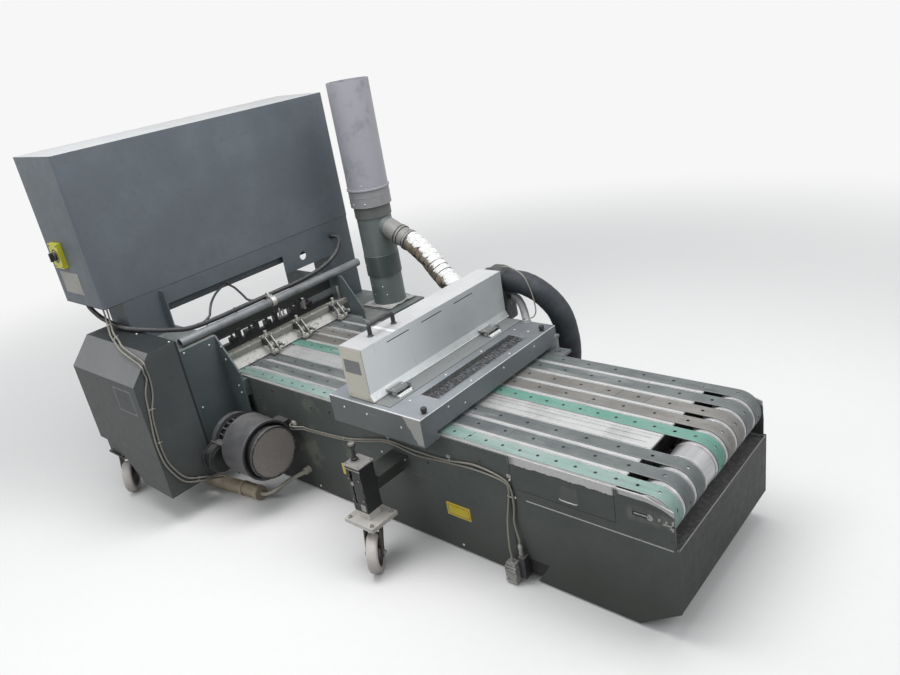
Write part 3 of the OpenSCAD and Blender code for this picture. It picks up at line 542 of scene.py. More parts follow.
def block(bm, low, high, skin=0):
    """A block between two corners given in workshop millimetres."""
    a, b = at(*low), at(*high)
    made = bmesh.ops.create_cube(bm, size=1)["verts"]
    for v in made:
        v.co = Vector([a[i] + (v.co[i] + 0.5) * (b[i] - a[i]) for i in range(3)])
    for face in {f for v in made for f in v.link_faces}:
        face.material_index = skin
    return made


def frame_along(direction):
    """Two directions square to the given one, the first level where it can be."""
    d = direction.normalized()
    side = Vector((1, 0, 0)) if abs(d.z) > 0.95 else d.cross(Vector((0, 0, 1))).normalized()
    return side, d.cross(side)


def turned(bm, centre, axis, profile, sides=24, skin=0, closed=True):
    """A solid turned round an axis; the profile is (distance along, radius) in mm."""
    centre, axis = at(*centre), Vector(axis).normalized()
    u, v = frame_along(axis)
    rings = []
    for along, radius in profile:
        spot = centre + axis * along * MM
        if radius <= 0:
            rings.append([bm.verts.new(spot)])
            continue
        angles = [2 * math.pi * k / sides for k in range(sides)]
        rings.append([bm.verts.new(spot + (u * math.cos(t) + v * math.sin(t)) * radius * MM) for t in angles])
    for a, b in zip(rings, rings[1:]):
        for k in range(sides):
            corners = [a[k % len(a)], a[(k + 1) % len(a)], b[(k + 1) % len(b)], b[k % len(b)]]
            corners = list(dict.fromkeys(corners))
            if len(corners) > 2:
                bm.faces.new(corners).material_index = skin
    if closed:
        for ring in (rings[0], rings[-1]):
            if len(ring) > 2:
                bm.faces.new(ring).material_index = skin
    return rings


def smooth_route(points, steps):
    """A smooth line through points, the same curve that the CAD source uses."""
    p = [Vector(q) for q in points]
    line = []
    for i in range(len(p) - 1):
        a, b, c, d = p[max(i - 1, 0)], p[i], p[i + 1], p[min(i + 2, len(p) - 1)]
        for k in range(steps):
            t = k / steps
            line.append(0.5 * (2 * b + (c - a) * t + (2 * a - 5 * b + 4 * c - d) * t * t
                               + (3 * b - a - 3 * c + d) * t ** 3))
    return line + [p[-1]]


def even_route(points, gap):
    """The same line with points a fixed distance apart."""
    out, left = [points[0]], gap
    for a, b in zip(points, points[1:]):
        length = (b - a).length
        done = 0.0
        while length - done >= left:
            done += left
            out.append(a + (b - a) * (done / length))
            left = gap
        left -= length - done
    if (out[-1] - points[-1]).length > gap * 0.3:
        out.append(points[-1])
    return out


def tube(bm, route, radius, sides=12, skin=0, radius_at=None, caps=True):
    """A tube along a route in workshop millimetres; radius_at varies it along the way."""
    line = [Vector(p) for p in route]
    rings, side = [], None
    for i, spot in enumerate(line):
        ahead = line[min(i + 1, len(line) - 1)] - line[max(i - 1, 0)]
        d = ahead.normalized()
        if side is None:
            side = frame_along(d)[0]
        side = (side - d * side.dot(d)).normalized()
        other = d.cross(side)
        r = radius if radius_at is None else radius_at(i, len(line))
        spin = [2 * math.pi * k / sides for k in range(sides)]
        rings.append([bm.verts.new(at(*(spot + (side * math.cos(t) + other * math.sin(t)) * r))) for t in spin])
    for a, b in zip(rings, rings[1:]):
        for k in range(sides):
            bm.faces.new([a[k], a[(k + 1) % sides], b[(k + 1) % sides], b[k]]).material_index = skin
    if caps:
        for ring in (rings[0], rings[-1]):
            bm.faces.new(ring).material_index = skin


def plate(bm, outline, direction, thick, skin=0):
    """An outline in workshop millimetres, pushed out along a direction in mm."""
    push = Vector(direction).normalized() * thick * MM
    low = [bm.verts.new(at(*p)) for p in outline]
    high = [bm.verts.new(v.co + push) for v in low]
    faces = [bm.faces.new(low), bm.faces.new(high[::-1])]
    n = len(low)
    faces += [bm.faces.new([low[i], low[(i + 1) % n], high[(i + 1) % n], high[i]]) for i in range(n)]
    for face in faces:
        face.material_index = skin


def hex_bolt(bm, spot, axis, size=10, washer=True, stud=0.0):
    """A hexagon head with a chamfered top, a washer and perhaps a stud end."""
    head = size * 0.62
    base = 0.0
    if washer:
        turned(bm, spot, axis, [(0, size * 1.05), (size * 0.12, size * 1.05)], 20)
        base = size * 0.12
    turned(bm, spot, axis, [(base, size * 0.92), (base + head * 0.8, size * 0.92), (base + head, size * 0.74)], 6)
    if stud:
        turned(bm, spot, axis, [(base + head, size * 0.48), (base + head + stud, size * 0.48),
                                (base + head + stud + 1, size * 0.40)], 14)


def dome_screw(bm, spot, axis, size=6):
    """A low domed screw head with a dimple in its middle."""
    turned(bm, spot, axis, [(0, size), (size * 0.18, size), (size * 0.42, size * 0.86), (size * 0.62, size * 0.5),
                            (size * 0.64, size * 0.3), (size * 0.3, size * 0.26), (size * 0.3, 0)], 16)


print("mesh helpers ready")

# %% [markdown]
# The machine stands on a plain pale floor that fades into the pale background
# with distance. The light is soft: two large lamps hang above and beside it and a
# pale sky fills the rest. Rays that light the machine from the floor meet a
# darker floor than the camera sees, as in a real hall with a grey floor.

# %% Floor, sky and lamps
SKY_GREY = (0.93, 0.93, 0.93)


def seen(tree):
    """1 for rays that show the background: to the camera, in metal and through glass."""
    ray = tree.nodes.new("ShaderNodeLightPath")
    share = ray.outputs["Is Camera Ray"]
    for kind in ("Is Glossy Ray", "Is Transmission Ray"):
        add = tree.nodes.new("ShaderNodeMath")
        add.operation = "MAXIMUM"
        tree.links.new(share, add.inputs[0])
        tree.links.new(ray.outputs[kind], add.inputs[1])
        share = add.outputs[0]
    return share


def floor_finish():
    f = Finish("floor")
    x, y, z = f.xyz()
    shown = Sock(f, seen(f.tree))
    fine = f.noise(22, 5, 0.7)
    base = f.mix(fine.step(0.4, 0.8) * 0.3, (0.72, 0.715, 0.705), (0.68, 0.675, 0.665))
    base = f.mix(shown, (0.28, 0.27, 0.26), base)
    far = (x * x + y * y).math("SQRT").step(2.4, 6.0)
    matt = f.node("BsdfPrincipled", {}, base, 0.0, 0.9)
    glow = f.node("Emission", {}, SKY_GREY, 1.0)
    f.node("OutputMaterial", {}, f.node("MixShader", {}, far * shown, matt, glow))
    return f.material


floor_mesh = bpy.data.meshes.new("floor")
FLOOR_HALF = 14.0
floor_mesh.from_pydata(
    [(-FLOOR_HALF, -FLOOR_HALF, 0), (FLOOR_HALF, -FLOOR_HALF, 0), (FLOOR_HALF, FLOOR_HALF, 0),
     (-FLOOR_HALF, FLOOR_HALF, 0)], [], [(0, 1, 2, 3)])
floor_mesh.materials.append(floor_finish())
floor = bpy.data.objects.new("floor", floor_mesh)
bpy.context.scene.collection.objects.link(floor)

world = bpy.data.worlds.new("sky")
world.use_nodes = True
bpy.context.scene.world = world
sky = world.node_tree
sky.nodes.clear()
soft_sky = sky.nodes.new("ShaderNodeBackground")
soft_sky.inputs["Color"].default_value = (0.92, 0.96, 1.0, 1)
soft_sky.inputs["Strength"].default_value = 0.56
seen_sky = sky.nodes.new("ShaderNodeBackground")
seen_sky.inputs["Color"].default_value = (*SKY_GREY, 1)
seen_sky.inputs["Strength"].default_value = 1.0
pick = sky.nodes.new("ShaderNodeMixShader")
sky_out = sky.nodes.new("ShaderNodeOutputWorld")
sky.links.new(seen(sky), pick.inputs[0])
sky.links.new(soft_sky.outputs[0], pick.inputs[1])
sky.links.new(seen_sky.outputs[0], pick.inputs[2])
sky.links.new(pick.outputs[0], sky_out.inputs["Surface"])


def soft_lamp(name, spot, aim, size, power):
    data = bpy.data.lights.new(name, "AREA")
    data.shape = "RECTANGLE"
    data.size, data.size_y = size
    data.energy = power
    lamp = bpy.data.objects.new(name, data)
    lamp.location = spot
    lamp.rotation_euler = (Vector(aim) - Vector(spot)).to_track_quat("-Z", "Y").to_euler()
    bpy.context.scene.collection.objects.link(lamp)


soft_lamp("ceiling_lamp", (0.1, -0.2, 4.2), (-0.1, 0, 0.4), (4.5, 1.8), 156)
soft_lamp("window_lamp", (3.4, 1.2, 3.2), (-0.6, 0, 1.1), (2.2, 1.4), 36)
soft_lamp("side_lamp", (-0.8, -3.8, 3.1), (-0.6, 0, 0.8), (3.0, 1.4), 37)
print("stage and lamps ready")

# %% [markdown]
# Now each node that keeps its own shape gets its finish. The list below pairs
# them; the soft and finely shaped pieces are made afterwards and replace theirs.

# %% Finishes of the nodes that stay
stainless = bare_metal("table stainless", (0.54, 0.545, 0.54), 0.42, brushed=(0.03, 1, 1), metal=0.5, stain=0.5)
roller_steel = bare_metal("roller steel", (0.46, 0.46, 0.47), 0.34, brushed=(1, 0.03, 1), stain=0.45)
pipe_steel = bare_metal("entry pipe", (0.20, 0.21, 0.22), 0.40, brushed=(1, 0.05, 1), stain=0.8, metal=0.2,
                        dirt=(0.045, 0.045, 0.048))
fork_iron = bare_metal("fork iron", (0.085, 0.075, 0.066), 0.5, brushed=(1, 1, 1), metal=0.25, stain=0.6,
                       dirt=(0.19, 0.165, 0.14))
plate_iron = bare_metal("castor plate", (0.59, 0.565, 0.535), 0.5, brushed=(1, 1, 1), metal=0.2, stain=0.5)
zinc = bare_metal("zinc plate", (0.42, 0.41, 0.38), 0.45, brushed=(1, 1, 1), metal=0.7, stain=0.6)
bright_zinc = bare_metal("bright fittings", (0.62, 0.61, 0.58), 0.32, brushed=(1, 1, 1), metal=0.8, stain=0.25)
caster_iron = bare_metal("castor iron", (0.33, 0.315, 0.285), 0.55, brushed=(1, 1, 1), metal=0.35, stain=0.65)
drum_grey = painted("drum grey", (0.049, 0.049, 0.053), 0.34, dust=0.25, worn=0.35, grain=300, depth=0.0001)
black_plastic = moulded("black plastic", (0.020, 0.020, 0.022), 0.38, dust=0.18)
black_rubber = moulded("black rubber", (0.026, 0.027, 0.030), 0.55, dust=0.2)
pale_plastic = moulded("pale plastic", (0.50, 0.48, 0.42), 0.42, dust=0.15)
yellow_plastic = moulded("yellow plastic", (0.62, 0.60, 0.03), 0.4, dust=0.1)
cream_rollers = moulded("cream rollers", (0.33, 0.32, 0.29), 0.4, dust=0.3)
tread_rubber = moulded("tread rubber", (0.52, 0.49, 0.465), 0.6, dust=0.4, dust_colour=(0.30, 0.25, 0.20))
black_inside = moulded("dark inside", (0.010, 0.010, 0.011), 0.75, dust=0.12)

node_finishes = (
    (cabinet_paint, "cabinet"),
    (yellow_plastic, "isolator_plate belts_green"),
    (black_plastic, "isolator_knob bridge_knobs"),
    (portal_paint, "portal"),
    (housing_paint, "side_housing"),
    (tower_paint, "tower side_plates fan_box"),
    (pipe_steel, "guide_tube"),
    (black_paint, "feed_bar blower_motor"),
    (cream_paint, "guide_bar"),
    (cream_rollers, "holddown_rollers"),
    (black_inside, "base_body vacuum_box brush_strip"),
    (stainless, "table_plate"),
    (panel_paint, "front_panel side_cover back_panel end_plates end_tray"),
    (roller_steel, "delivery_roller feed_roller"),
    (bridge_paint, "bridge_frame"),
    (jack_paint, "jack_box"),
    (plate_iron, "jack_slide"),
    (fork_iron, "jack_fork side_fork"),
    (tread_rubber, "jack_wheel side_wheel"),
    (caster_iron, "far_castors"),
    (drum_grey, "blower_drum blower_grille"),
    (pale_plastic, "conduit conduit_pipe branch_hose sensor_cables housing_cables"),
    (stack_grey, "exhaust_stack"),
    (black_rubber, "lamp_duct_box black_hose cabinet_cable belts_grey"),
    (zinc, "cable_plugs"),
)


def dress(name, finish):
    """Puts a finish in all the slots of a CAD node."""
    mesh = nodes[name].data
    mesh.materials.clear()
    mesh.materials.append(finish)


for finish, names in node_finishes:
    for name in names.split():
        dress(name, finish)
print(len(node_finishes), "finishes given to the CAD nodes")

# %% [markdown]
# Nine belt places run over the table, and one of them has lost its belt. A real
# belt is a woven strip with a rubber skin, punched with one row of holes, and
# the suction of the table works through them. The holes are cut in the mesh, so
# the dark suction slots show through them. The strip is laid out flat as a grid
# with a small square round each hole, and then bent round the two rollers.

# %% The belts' route and sizes
roller_low, roller_high = span("delivery_roller")
feed_low, feed_high = span("feed_roller")
AXIS_Z = (roller_low.z + roller_high.z) / 2
ROLLER_X = (roller_low.x + roller_high.x) / 2
FEED_X = (feed_low.x + feed_high.x) / 2
BELT_R = span("belts_green")[1].z - AXIS_Z
BELT_W = 60
BELT_T = 2.5
PITCH = 84
FIRST_BELT = 39
RUN = ROLLER_X - FEED_X
ARC = math.pi * BELT_R
HOLE_R = 6.3
print("belt loop", round(2 * (RUN + ARC)), "mm long, radius", round(BELT_R, 1))


def round_rollers(s, lift):
    """Where a point s mm along the loop lies; lift is its depth under the face."""
    r = BELT_R - lift
    if s < RUN:
        return FEED_X + s, AXIS_Z + r
    if s < RUN + ARC:
        t = (s - RUN) / BELT_R
        return ROLLER_X + r * math.sin(t), AXIS_Z + r * math.cos(t)
    if s < 2 * RUN + ARC:
        return ROLLER_X - (s - RUN - ARC), AXIS_Z - r
    t = (s - 2 * RUN - ARC) / BELT_R
    return FEED_X - r * math.sin(t), AXIS_Z - r * math.cos(t)


# %% A punched belt
def punched_belt(bm, place, hole_gap, first_hole, skin):
    middle = FIRST_BELT + PITCH * place
    total = 2 * (RUN + ARC)
    half, cut = BELT_W / 2, 8.2
    mid = cut * math.tan(math.radians(22.5))
    holes = []
    s = first_hole
    while s < RUN + ARC * 0.9:
        holes.append(s)
        s += hole_gap
    lines = set()
    for h in holes:
        lines.update(round(h + d, 4) for d in (-cut, -mid, 0, mid, cut))
    step = 6.5
    k = 0
    while k * step < total:
        s = k * step
        near = min((abs(s - h) for h in holes), default=99)
        on_arc = RUN - 8 < s < RUN + ARC + 8 or s > total - ARC - 8 or s < 8
        if near > cut + 1.5 and (on_arc or k % 6 == 0):
            lines.add(round(s, 4))
        k += 1
    lines = sorted(lines)
    across = [-half, -half + 1.2, -18, -cut, -mid, 0, mid, cut, 18, half - 1.2, half]
    inner = {-mid, 0, mid}
    skins = []
    for lift in (0, BELT_T):
        grid = {}
        for s in lines:
            for a in across:
                near = min((abs(s - h) for h in holes), default=99)
                if near < cut - 0.1 and a in inner and abs(a) < cut - 0.1:
                    continue
                drop = 0.5 if lift == 0 and abs(a) == half else 0.0
                x, z = round_rollers(s, lift + drop)
                grid[s, a] = bm.verts.new(at(x, middle + a, z))
        for s0, s1 in zip(lines, lines[1:] + lines[:1]):
            centre = (s0 + s1) / 2 if s1 > s0 else -99
            if min((abs(centre - h) for h in holes), default=99) < cut:
                bands = [b for b in zip(across, across[1:]) if abs(b[0] + b[1]) / 2 > cut]
            else:
                bands = list(zip(across, across[1:]))
            for a0, a1 in bands:
                quad = [grid[s0, a0], grid[s1, a0], grid[s1, a1], grid[s0, a1]]
                bm.faces.new(quad).material_index = skin
        rims = []
        for h in holes:
            rim = []
            for q in range(16):
                t = math.radians(22.5 * q)
                x, z = round_rollers(h + HOLE_R * math.cos(t), lift)
                rim.append(bm.verts.new(at(x, middle + HOLE_R * math.sin(t), z)))
            frame_points = []
            for q in range(16):
                t = math.radians(22.5 * q)
                reach = cut / max(abs(math.cos(t)), abs(math.sin(t)))
                ds, da = reach * math.cos(t), reach * math.sin(t)
                s_key = min(lines, key=lambda v: abs(v - (h + ds)))
                a_key = min(across, key=lambda v: abs(v - da))
                frame_points.append(grid[s_key, a_key])
            for q in range(16):
                n = (q + 1) % 16
                bm.faces.new([rim[q], rim[n], frame_points[n], frame_points[q]]).material_index = skin
            rims.append(rim)
        skins.append((grid, rims))
    (top, top_rims), (low, low_rims) = skins
    for a in (across[0], across[-1]):
        for s0, s1 in zip(lines, lines[1:] + lines[:1]):
            bm.faces.new([top[s0, a], top[s1, a], low[s1, a], low[s0, a]]).material_index = skin
    for upper, lower in zip(top_rims, low_rims):
        for q in range(16):
            n = (q + 1) % 16
            bm.faces.new([upper[q], upper[n], lower[n], lower[q]]).material_index = skin


# %% [markdown]
# Each belt has aged in its own way. The green ones keep their colour where the
# sheets don't rub, and one has faded to mint. The grey ones are dark where they
# are greasy and brown where dust has been pressed in. A fine diagonal weave, a
# paler rubbed edge and small scuffs along the way are shared by all.

# %% Belt rubber
def belt_rubber(name, colour, faded, grime):
    f = Finish(name)
    x, y, z = f.xyz()
    cell = (y - (SIDE_Y + (FIRST_BELT - PITCH / 2) * MM)) / (PITCH * MM)
    across = abs(cell.math("FRACT") - 0.5) * (PITCH * MM)
    long_marks = f.noise(30, 4, 0.65, stretch=(0.08, 1, 1))
    clouds = f.noise(3.6, 5, 0.6)
    specks = f.noise(160, 3, 0.7)
    base = f.mix(clouds.step(0.32, 0.7), colour, faded)
    base = f.mix(long_marks.step(0.52, 0.72) * 0.5, base, grime)
    base = f.mix(specks.step(0.60, 0.72) * 0.4, base, tuple(c * 0.6 for c in grime))
    rub = across.step(0.0262, 0.0298) * 0.45
    base = f.mix(rub, base, (0.30, 0.31, 0.29))
    scuff = f.noise(9, 5, 0.65, stretch=(0.25, 1, 1)).step(0.54, 0.70)
    worn_half = (1 - x.step(x_at(-900), x_at(-350))) * 0.35 + 0.25
    worn_half = worn_half + (1 - x.step(x_at(-2000), x_at(-1500))) * 0.35
    base = f.mix(scuff * worn_half, base, (0.33, 0.34, 0.33))
    entry = (1 - x.step(x_at(-2100), x_at(-1560))) * long_marks.step(0.25, 0.6) * 0.5
    base = f.mix(entry, base, tuple(c * 0.75 for c in grime))
    holes_dirt = (1 - across.step(0.0045, 0.0105)) * f.noise(26, 3).step(0.4, 0.7) * 0.28
    base = f.mix(holes_dirt, base, grime)
    warp = ((x + y) * 1500.0).math("SINE") * ((x - y) * 1500.0).math("SINE")
    height = warp * 0.125 + specks * 0.6 + long_marks * 0.5
    rough_map = (clouds * 0.2 + specks * 0.18 + 0.36).clip()
    return f.surface(base, rough_map, 0.0, height, 0.00025, specular=0.4)


mint = belt_rubber("faded mint belt", (0.165, 0.265, 0.235), (0.25, 0.325, 0.30), (0.12, 0.155, 0.14))
green = belt_rubber("green belt", (0.085, 0.225, 0.175), (0.15, 0.27, 0.23), (0.075, 0.115, 0.10))
dark_belt = belt_rubber("dark belt", (0.080, 0.092, 0.094), (0.145, 0.158, 0.156), (0.050, 0.054, 0.053))
brown_belt = belt_rubber("brown belt", (0.130, 0.124, 0.116), (0.20, 0.19, 0.178), (0.068, 0.063, 0.058))


def green_pair(bm):
    punched_belt(bm, 0, 75, 22, 0)
    punched_belt(bm, 4, 75, 65, 1)


def grey_set(bm):
    for place, start, skin in ((1, 48, 0), (2, 90, 0), (5, 100, 1), (6, 118, 1), (7, 118, 0), (8, 56, 0)):
        punched_belt(bm, place, 125, start, skin)


green_belts = piece("green_belts", green_pair, [mint, green], covers=["belts_green"])
grey_belts = piece("grey_belts", grey_set, [dark_belt, brown_belt], covers=["belts_grey"])
print("belts:", len(green_belts.data.polygons), "and", len(grey_belts.data.polygons), "faces")

# %% [markdown]
# The bridge is a folded sheet cover across the belts. Its window holds a brush
# that keeps the light in where sheets leave. A brush is far too fine to model as
# one block, so it is made of some thousands of thin bristles, each a three sided
# spike that leans a little its own way.

# %% Brush in the bridge window
random.seed(11)
bridge_low, bridge_high = span("bridge_frame")
BRIDGE_TOP = bridge_high.z
WINDOW = (-1068, 64, -980, 654)
bristle_black = moulded("bristle black", (0.020, 0.021, 0.023), 0.55, dust=0.1, round_by=0.0)
bristle_grey = moulded("bristle grey", (0.25, 0.262, 0.28), 0.5, dust=0.1, round_by=0.0)


def bristles(bm):
    x0, y0, x1, y1 = WINDOW
    for row in range(16):
        y = y0 + 2
        while y < y1 - 2:
            x = x0 + 4 + row * (x1 - x0 - 10) / 15 + random.uniform(-3, 3)
            foot = Vector((x, y + random.uniform(-1.5, 1.5), BRIDGE_TOP - 5))
            tip = foot + Vector((random.uniform(6, 26), random.uniform(-5, 5), random.uniform(1.6, 4.5)))
            tip.x = min(max(tip.x, x0 + 1.5), x1 - 1.5)
            wide = random.uniform(0.6, 1.2)
            a = bm.verts.new(at(foot.x - wide, foot.y, foot.z))
            b = bm.verts.new(at(foot.x + wide, foot.y - wide, foot.z))
            c = bm.verts.new(at(foot.x, foot.y + wide, foot.z))
            d = bm.verts.new(at(*tip))
            tuft = noise.noise(Vector((y * 0.16, row * 0.22, 3))) + random.uniform(-0.22, 0.22)
            skin = 0 if tuft < 0.0 or row < 3 else 1
            for face in ((a, b, d), (b, c, d), (c, a, d)):
                bm.faces.new(face).material_index = skin
            y += random.uniform(1.4, 2.4)


brush = piece("brush_bristles", bristles, [bristle_black, bristle_grey], smooth=False)
print("bristles:", len(brush.data.polygons) // 3)

# %% [markdown]
# The bridge is held by small plated screws on its top and front, and a black
# cross-head knob stands at each delivery corner. The screws sit where the
# photograph shows bright dots. Around the window runs a folded rim, and the top
# edge has been rubbed bright by hands.

# %% Screws, knobs and rims of the bridge
FRONT_Y = bridge_low.y
X_OUT = WINDOW[2] + 46


def bridge_fixings(bm):
    for x, y in ((-1077, 10), (-1086, 235), (-1086, 470), (-1080, 709), (-1010, 713), (-956, 496), (-956, 238)):
        dome_screw(bm, (x, y, BRIDGE_TOP), UP, 5)
    for x, z in ((-1352, 612), (-1222, 610), (-1040, 596)):
        dome_screw(bm, (x, FRONT_Y, z), FRONT, 5)
    for y, z in ((66, 628), (160, 596), (420, 624), (640, 622)):
        dome_screw(bm, (X_OUT, y, z), OUT, 4.5)


piece("bridge_screws", bridge_fixings, bright_zinc)


def window_rim(bm):
    x0, y0, x1, y1 = WINDOW
    for low, high in (((x0 - 5, y0 - 5), (x1 + 5, y0)), ((x0 - 5, y1), (x1 + 5, y1 + 5)),
                      ((x0 - 5, y0), (x0, y1)), ((x1, y0), (x1 + 5, y1))):
        block(bm, (*low, BRIDGE_TOP - 1), (*high, BRIDGE_TOP + 1.4))


piece("window_rim", window_rim, bridge_paint, bevel=0.0006)


def knobs(bm):
    for y in (-40, TABLE_W - 8):
        spot = (X_OUT - 24, y, BRIDGE_TOP)
        turned(bm, spot, UP, [(0, 10), (2, 10), (2.4, 8), (8, 8), (8.6, 11.4), (21, 11.8), (23.4, 10.4), (24, 0)],
               24)
        for k in range(12):
            t = 2 * math.pi * k / 12
            x, yy = spot[0] + 11.5 * math.cos(t), y + 11.5 * math.sin(t)
            turned(bm, (x, yy, BRIDGE_TOP + 9), UP, [(0, 1.2), (11, 1.2), (12, 0.6)], 6)


piece("clamp_knobs", knobs, black_plastic, covers=["bridge_knobs"])
print("bridge fixings done")

# %% [markdown]
# The lamp head is a long sheet metal box on hinges. Its end cap is cream, the
# rest white enamel with a satin grey long face, and a lip runs along its lower
# edge. Enamel is harder than the grey paint: smoother, hardly pebbled, with
# soft grey handling marks and only small chips at the corners.

# %% Lamp enamel
lamp_low, lamp_high = span("lamp_head")
LAMP_X1 = -1208.0


def lamp_enamel():
    f = Finish("lamp enamel")
    nx, ny, nz = f.facing()
    x, y, z = f.xyz()
    face = nx.step(0.5, 0.9)
    cap = (-1 * ny).step(0.5, 0.9)
    clouds = f.noise(4, 5, 0.6)
    base = f.mix(clouds.step(0.35, 0.75), (0.44, 0.443, 0.445), (0.385, 0.39, 0.395))
    # The long face is painted lighter towards the near end: a painted highlight where more light falls on it.
    far = y.step(at(0, -70, 0).y, at(0, 480, 0).y)
    base = f.mix(face, base, f.mix(far, (0.74, 0.765, 0.775), f.mix(clouds.step(0.3, 0.7), (0.42, 0.44, 0.445),
                                                                    (0.36, 0.38, 0.385))))
    leaf = x.step(x_at(-1189), x_at(-1186))
    base = f.mix(leaf, base, (0.17, 0.175, 0.175))
    base = f.mix(cap, base, f.mix(clouds.step(0.3, 0.7), (0.58, 0.56, 0.48), (0.52, 0.50, 0.42)))
    drip = f.noise(34, 4, 0.7, stretch=(1, 1, 0.12)).step(0.56, 0.76) * 0.14
    base = f.mix(drip, base, (0.24, 0.24, 0.22))
    smudge = f.noise(16, 5, 0.7).step(0.60, 0.74) * 0.22
    base = f.mix(smudge, base, (0.30, 0.30, 0.28))
    foot = (1 - z.step(at(0, 0, 656).z, at(0, 0, 690).z)) * f.noise(30, 4, 0.7).step(0.4, 0.7) * 0.35
    base = f.mix(foot, base, (0.20, 0.19, 0.17))
    chips = f.edges(0.003) * f.noise(90, 4, 0.75).step(0.55, 0.62) * 0.8
    base = f.mix(chips, base, (0.16, 0.15, 0.14))
    fine = f.noise(300, 2, 0.5)
    return f.surface(base, (clouds * 0.15 + 0.30 + smudge * 0.4).clip(), 0.0, fine + drip, 0.00008, coat=0.15,
                     round_by=0.003)


enamel = lamp_enamel()
dress("lamp_head", enamel)
dress("lamp_base", bare_metal("hinge plate", (0.24, 0.25, 0.25), 0.45, brushed=(1, 0.05, 1), metal=0.3, stain=0.4))

# %% [markdown]
# The head is more than a box: a hanging lip along its lower edge, cap screws on
# the end, a seam behind the end cap, blank plate and vent slots. All of them
# ride with the lamp body, so they tilt with it.

# %% Trim on the lamp head
dark_slot = moulded("dark slot", (0.012, 0.012, 0.013), 0.7, dust=0.0, round_by=0.0)
blank_plate = bare_metal("blank plate", (0.20, 0.205, 0.21), 0.4, brushed=(0.2, 1, 1), metal=0.2, stain=0.2)
lip_white = bare_metal("pale lip", (0.78, 0.79, 0.78), 0.35, brushed=(1, 0.1, 1), metal=0.2, stain=0.15)
LY0, LY1 = lamp_low.y, lamp_high.y
LZ0, LZ1 = lamp_low.z, lamp_high.z
LX0 = lamp_low.x


def lamp_trim(bm):
    for z in (LZ0 + 14, LZ1 - 14):
        for x in (LX0 + 12, LAMP_X1 - 12):
            dome_screw(bm, (x, LY0, z), FRONT, 4)


def pale_lip(bm):
    """The bright folded edge of the skirt, and the strip of tape beside the handle."""
    block(bm, (LAMP_X1 + 15, LY0 + 1, LZ0 + 0.4), (LAMP_X1 + 17.4, LY1 - 1, LZ0 + 5.2))
    block(bm, (LX0 + 3, 112, LZ1 - 0.2), (LAMP_X1 - 3, 130, LZ1 + 0.35))


def hinge_bars(bm):
    for y in (45, 635):
        block(bm, (-1140, y - 40, LZ0 + 3.2), (-1129, y + 40, LZ0 + 4.2))
        block(bm, (-1128.5, y - 43, LZ0 - 1.2), (-1121, y + 30, LZ0 + 2.6))
        turned(bm, (-1124.5, y - 43, LZ0 + 3), BACK, [(0, 0), (0, 3.4), (12, 3.4), (13, 2.6), (73, 2.6), (73, 0)], 12)


def lamp_dark_lines(bm):
    for y in (69, 272, 480):
        block(bm, (LAMP_X1 - 0.5, y, LZ1 - 27.3), (LAMP_X1 + 0.25, y + 128, LZ1 - 23.7))
    block(bm, (LAMP_X1 - 0.5, LY0 + 1.0, LZ0 + 1), (LAMP_X1 + 0.2, LY0 + 2.2, LZ1 - 3))
    block(bm, (LX0 + 1, LY0 + 1.0, LZ1 - 0.5), (LAMP_X1 - 1, LY0 + 2.2, LZ1 + 0.2))


def lamp_screws(bm):
    for y in (268, 534):
        dome_screw(bm, (LAMP_X1, y, LZ0 + 44), OUT, 3.6)
    for y in (45 - 27, 45 + 27, 635 - 27, 635 + 27):
        dome_screw(bm, (LAMP_X1 + 38, y, LZ0 + 21), UP, 3.4)


piece("lamp_lip", lamp_trim, enamel, body="lamp", bevel=0.0008)
piece("pale_lip", pale_lip, lip_white, body="lamp", bevel=0.0005)
piece("hinge_bars", hinge_bars, lip_white, bevel=0.0004)
piece("lamp_slots", lamp_dark_lines, dark_slot, body="lamp", smooth=False)
piece("lamp_screws", lamp_screws, bright_zinc, body="lamp")
piece("lamp_blank_plate", lambda bm: block(bm, (-1318, LY0 - 1.2, 766), (-1229, LY0 + 0.2, 822)), blank_plate,
      body="lamp", bevel=0.0006)


def lamp_grip(bm):
    """The bent black bar handle on top of the head, with square feet."""
    hx = (LX0 + LAMP_X1) / 2
    route = [(hx, 48, LZ1 + 2), (hx, 48, LZ1 + 20), (hx, 48, LZ1 + 36), (hx, 51, LZ1 + 44), (hx, 58, LZ1 + 48),
             (hx, 80, LZ1 + 48), (hx, 114, LZ1 + 48), (hx, 148, LZ1 + 48), (hx, 170, LZ1 + 48), (hx, 177, LZ1 + 44),
             (hx, 180, LZ1 + 36), (hx, 180, LZ1 + 20), (hx, 180, LZ1 + 2)]
    tube(bm, smooth_route(route, 4), 9, 16)
    for y in (48, 180):
        turned(bm, (hx, y, LZ1), UP, [(0, 13), (3, 13), (5, 10.5), (7, 9)], 20)


piece("lamp_grip", lamp_grip, black_plastic, body="lamp", covers=["lamp_handle"])
print("lamp head dressed")

# %% [markdown]
# The table shows a lot of small history. The panels have screws, a shallow grip
# to lift the side cover by, dirt in every seam and a plain yellow plate. Each of
# these is a thin piece of real geometry set on the panel, because flat colour
# would vanish when the light turns.

# %% Seams, screws and plates of the operator's panel
SEAM_T = 0.3
cover_low, cover_high = span("side_cover")


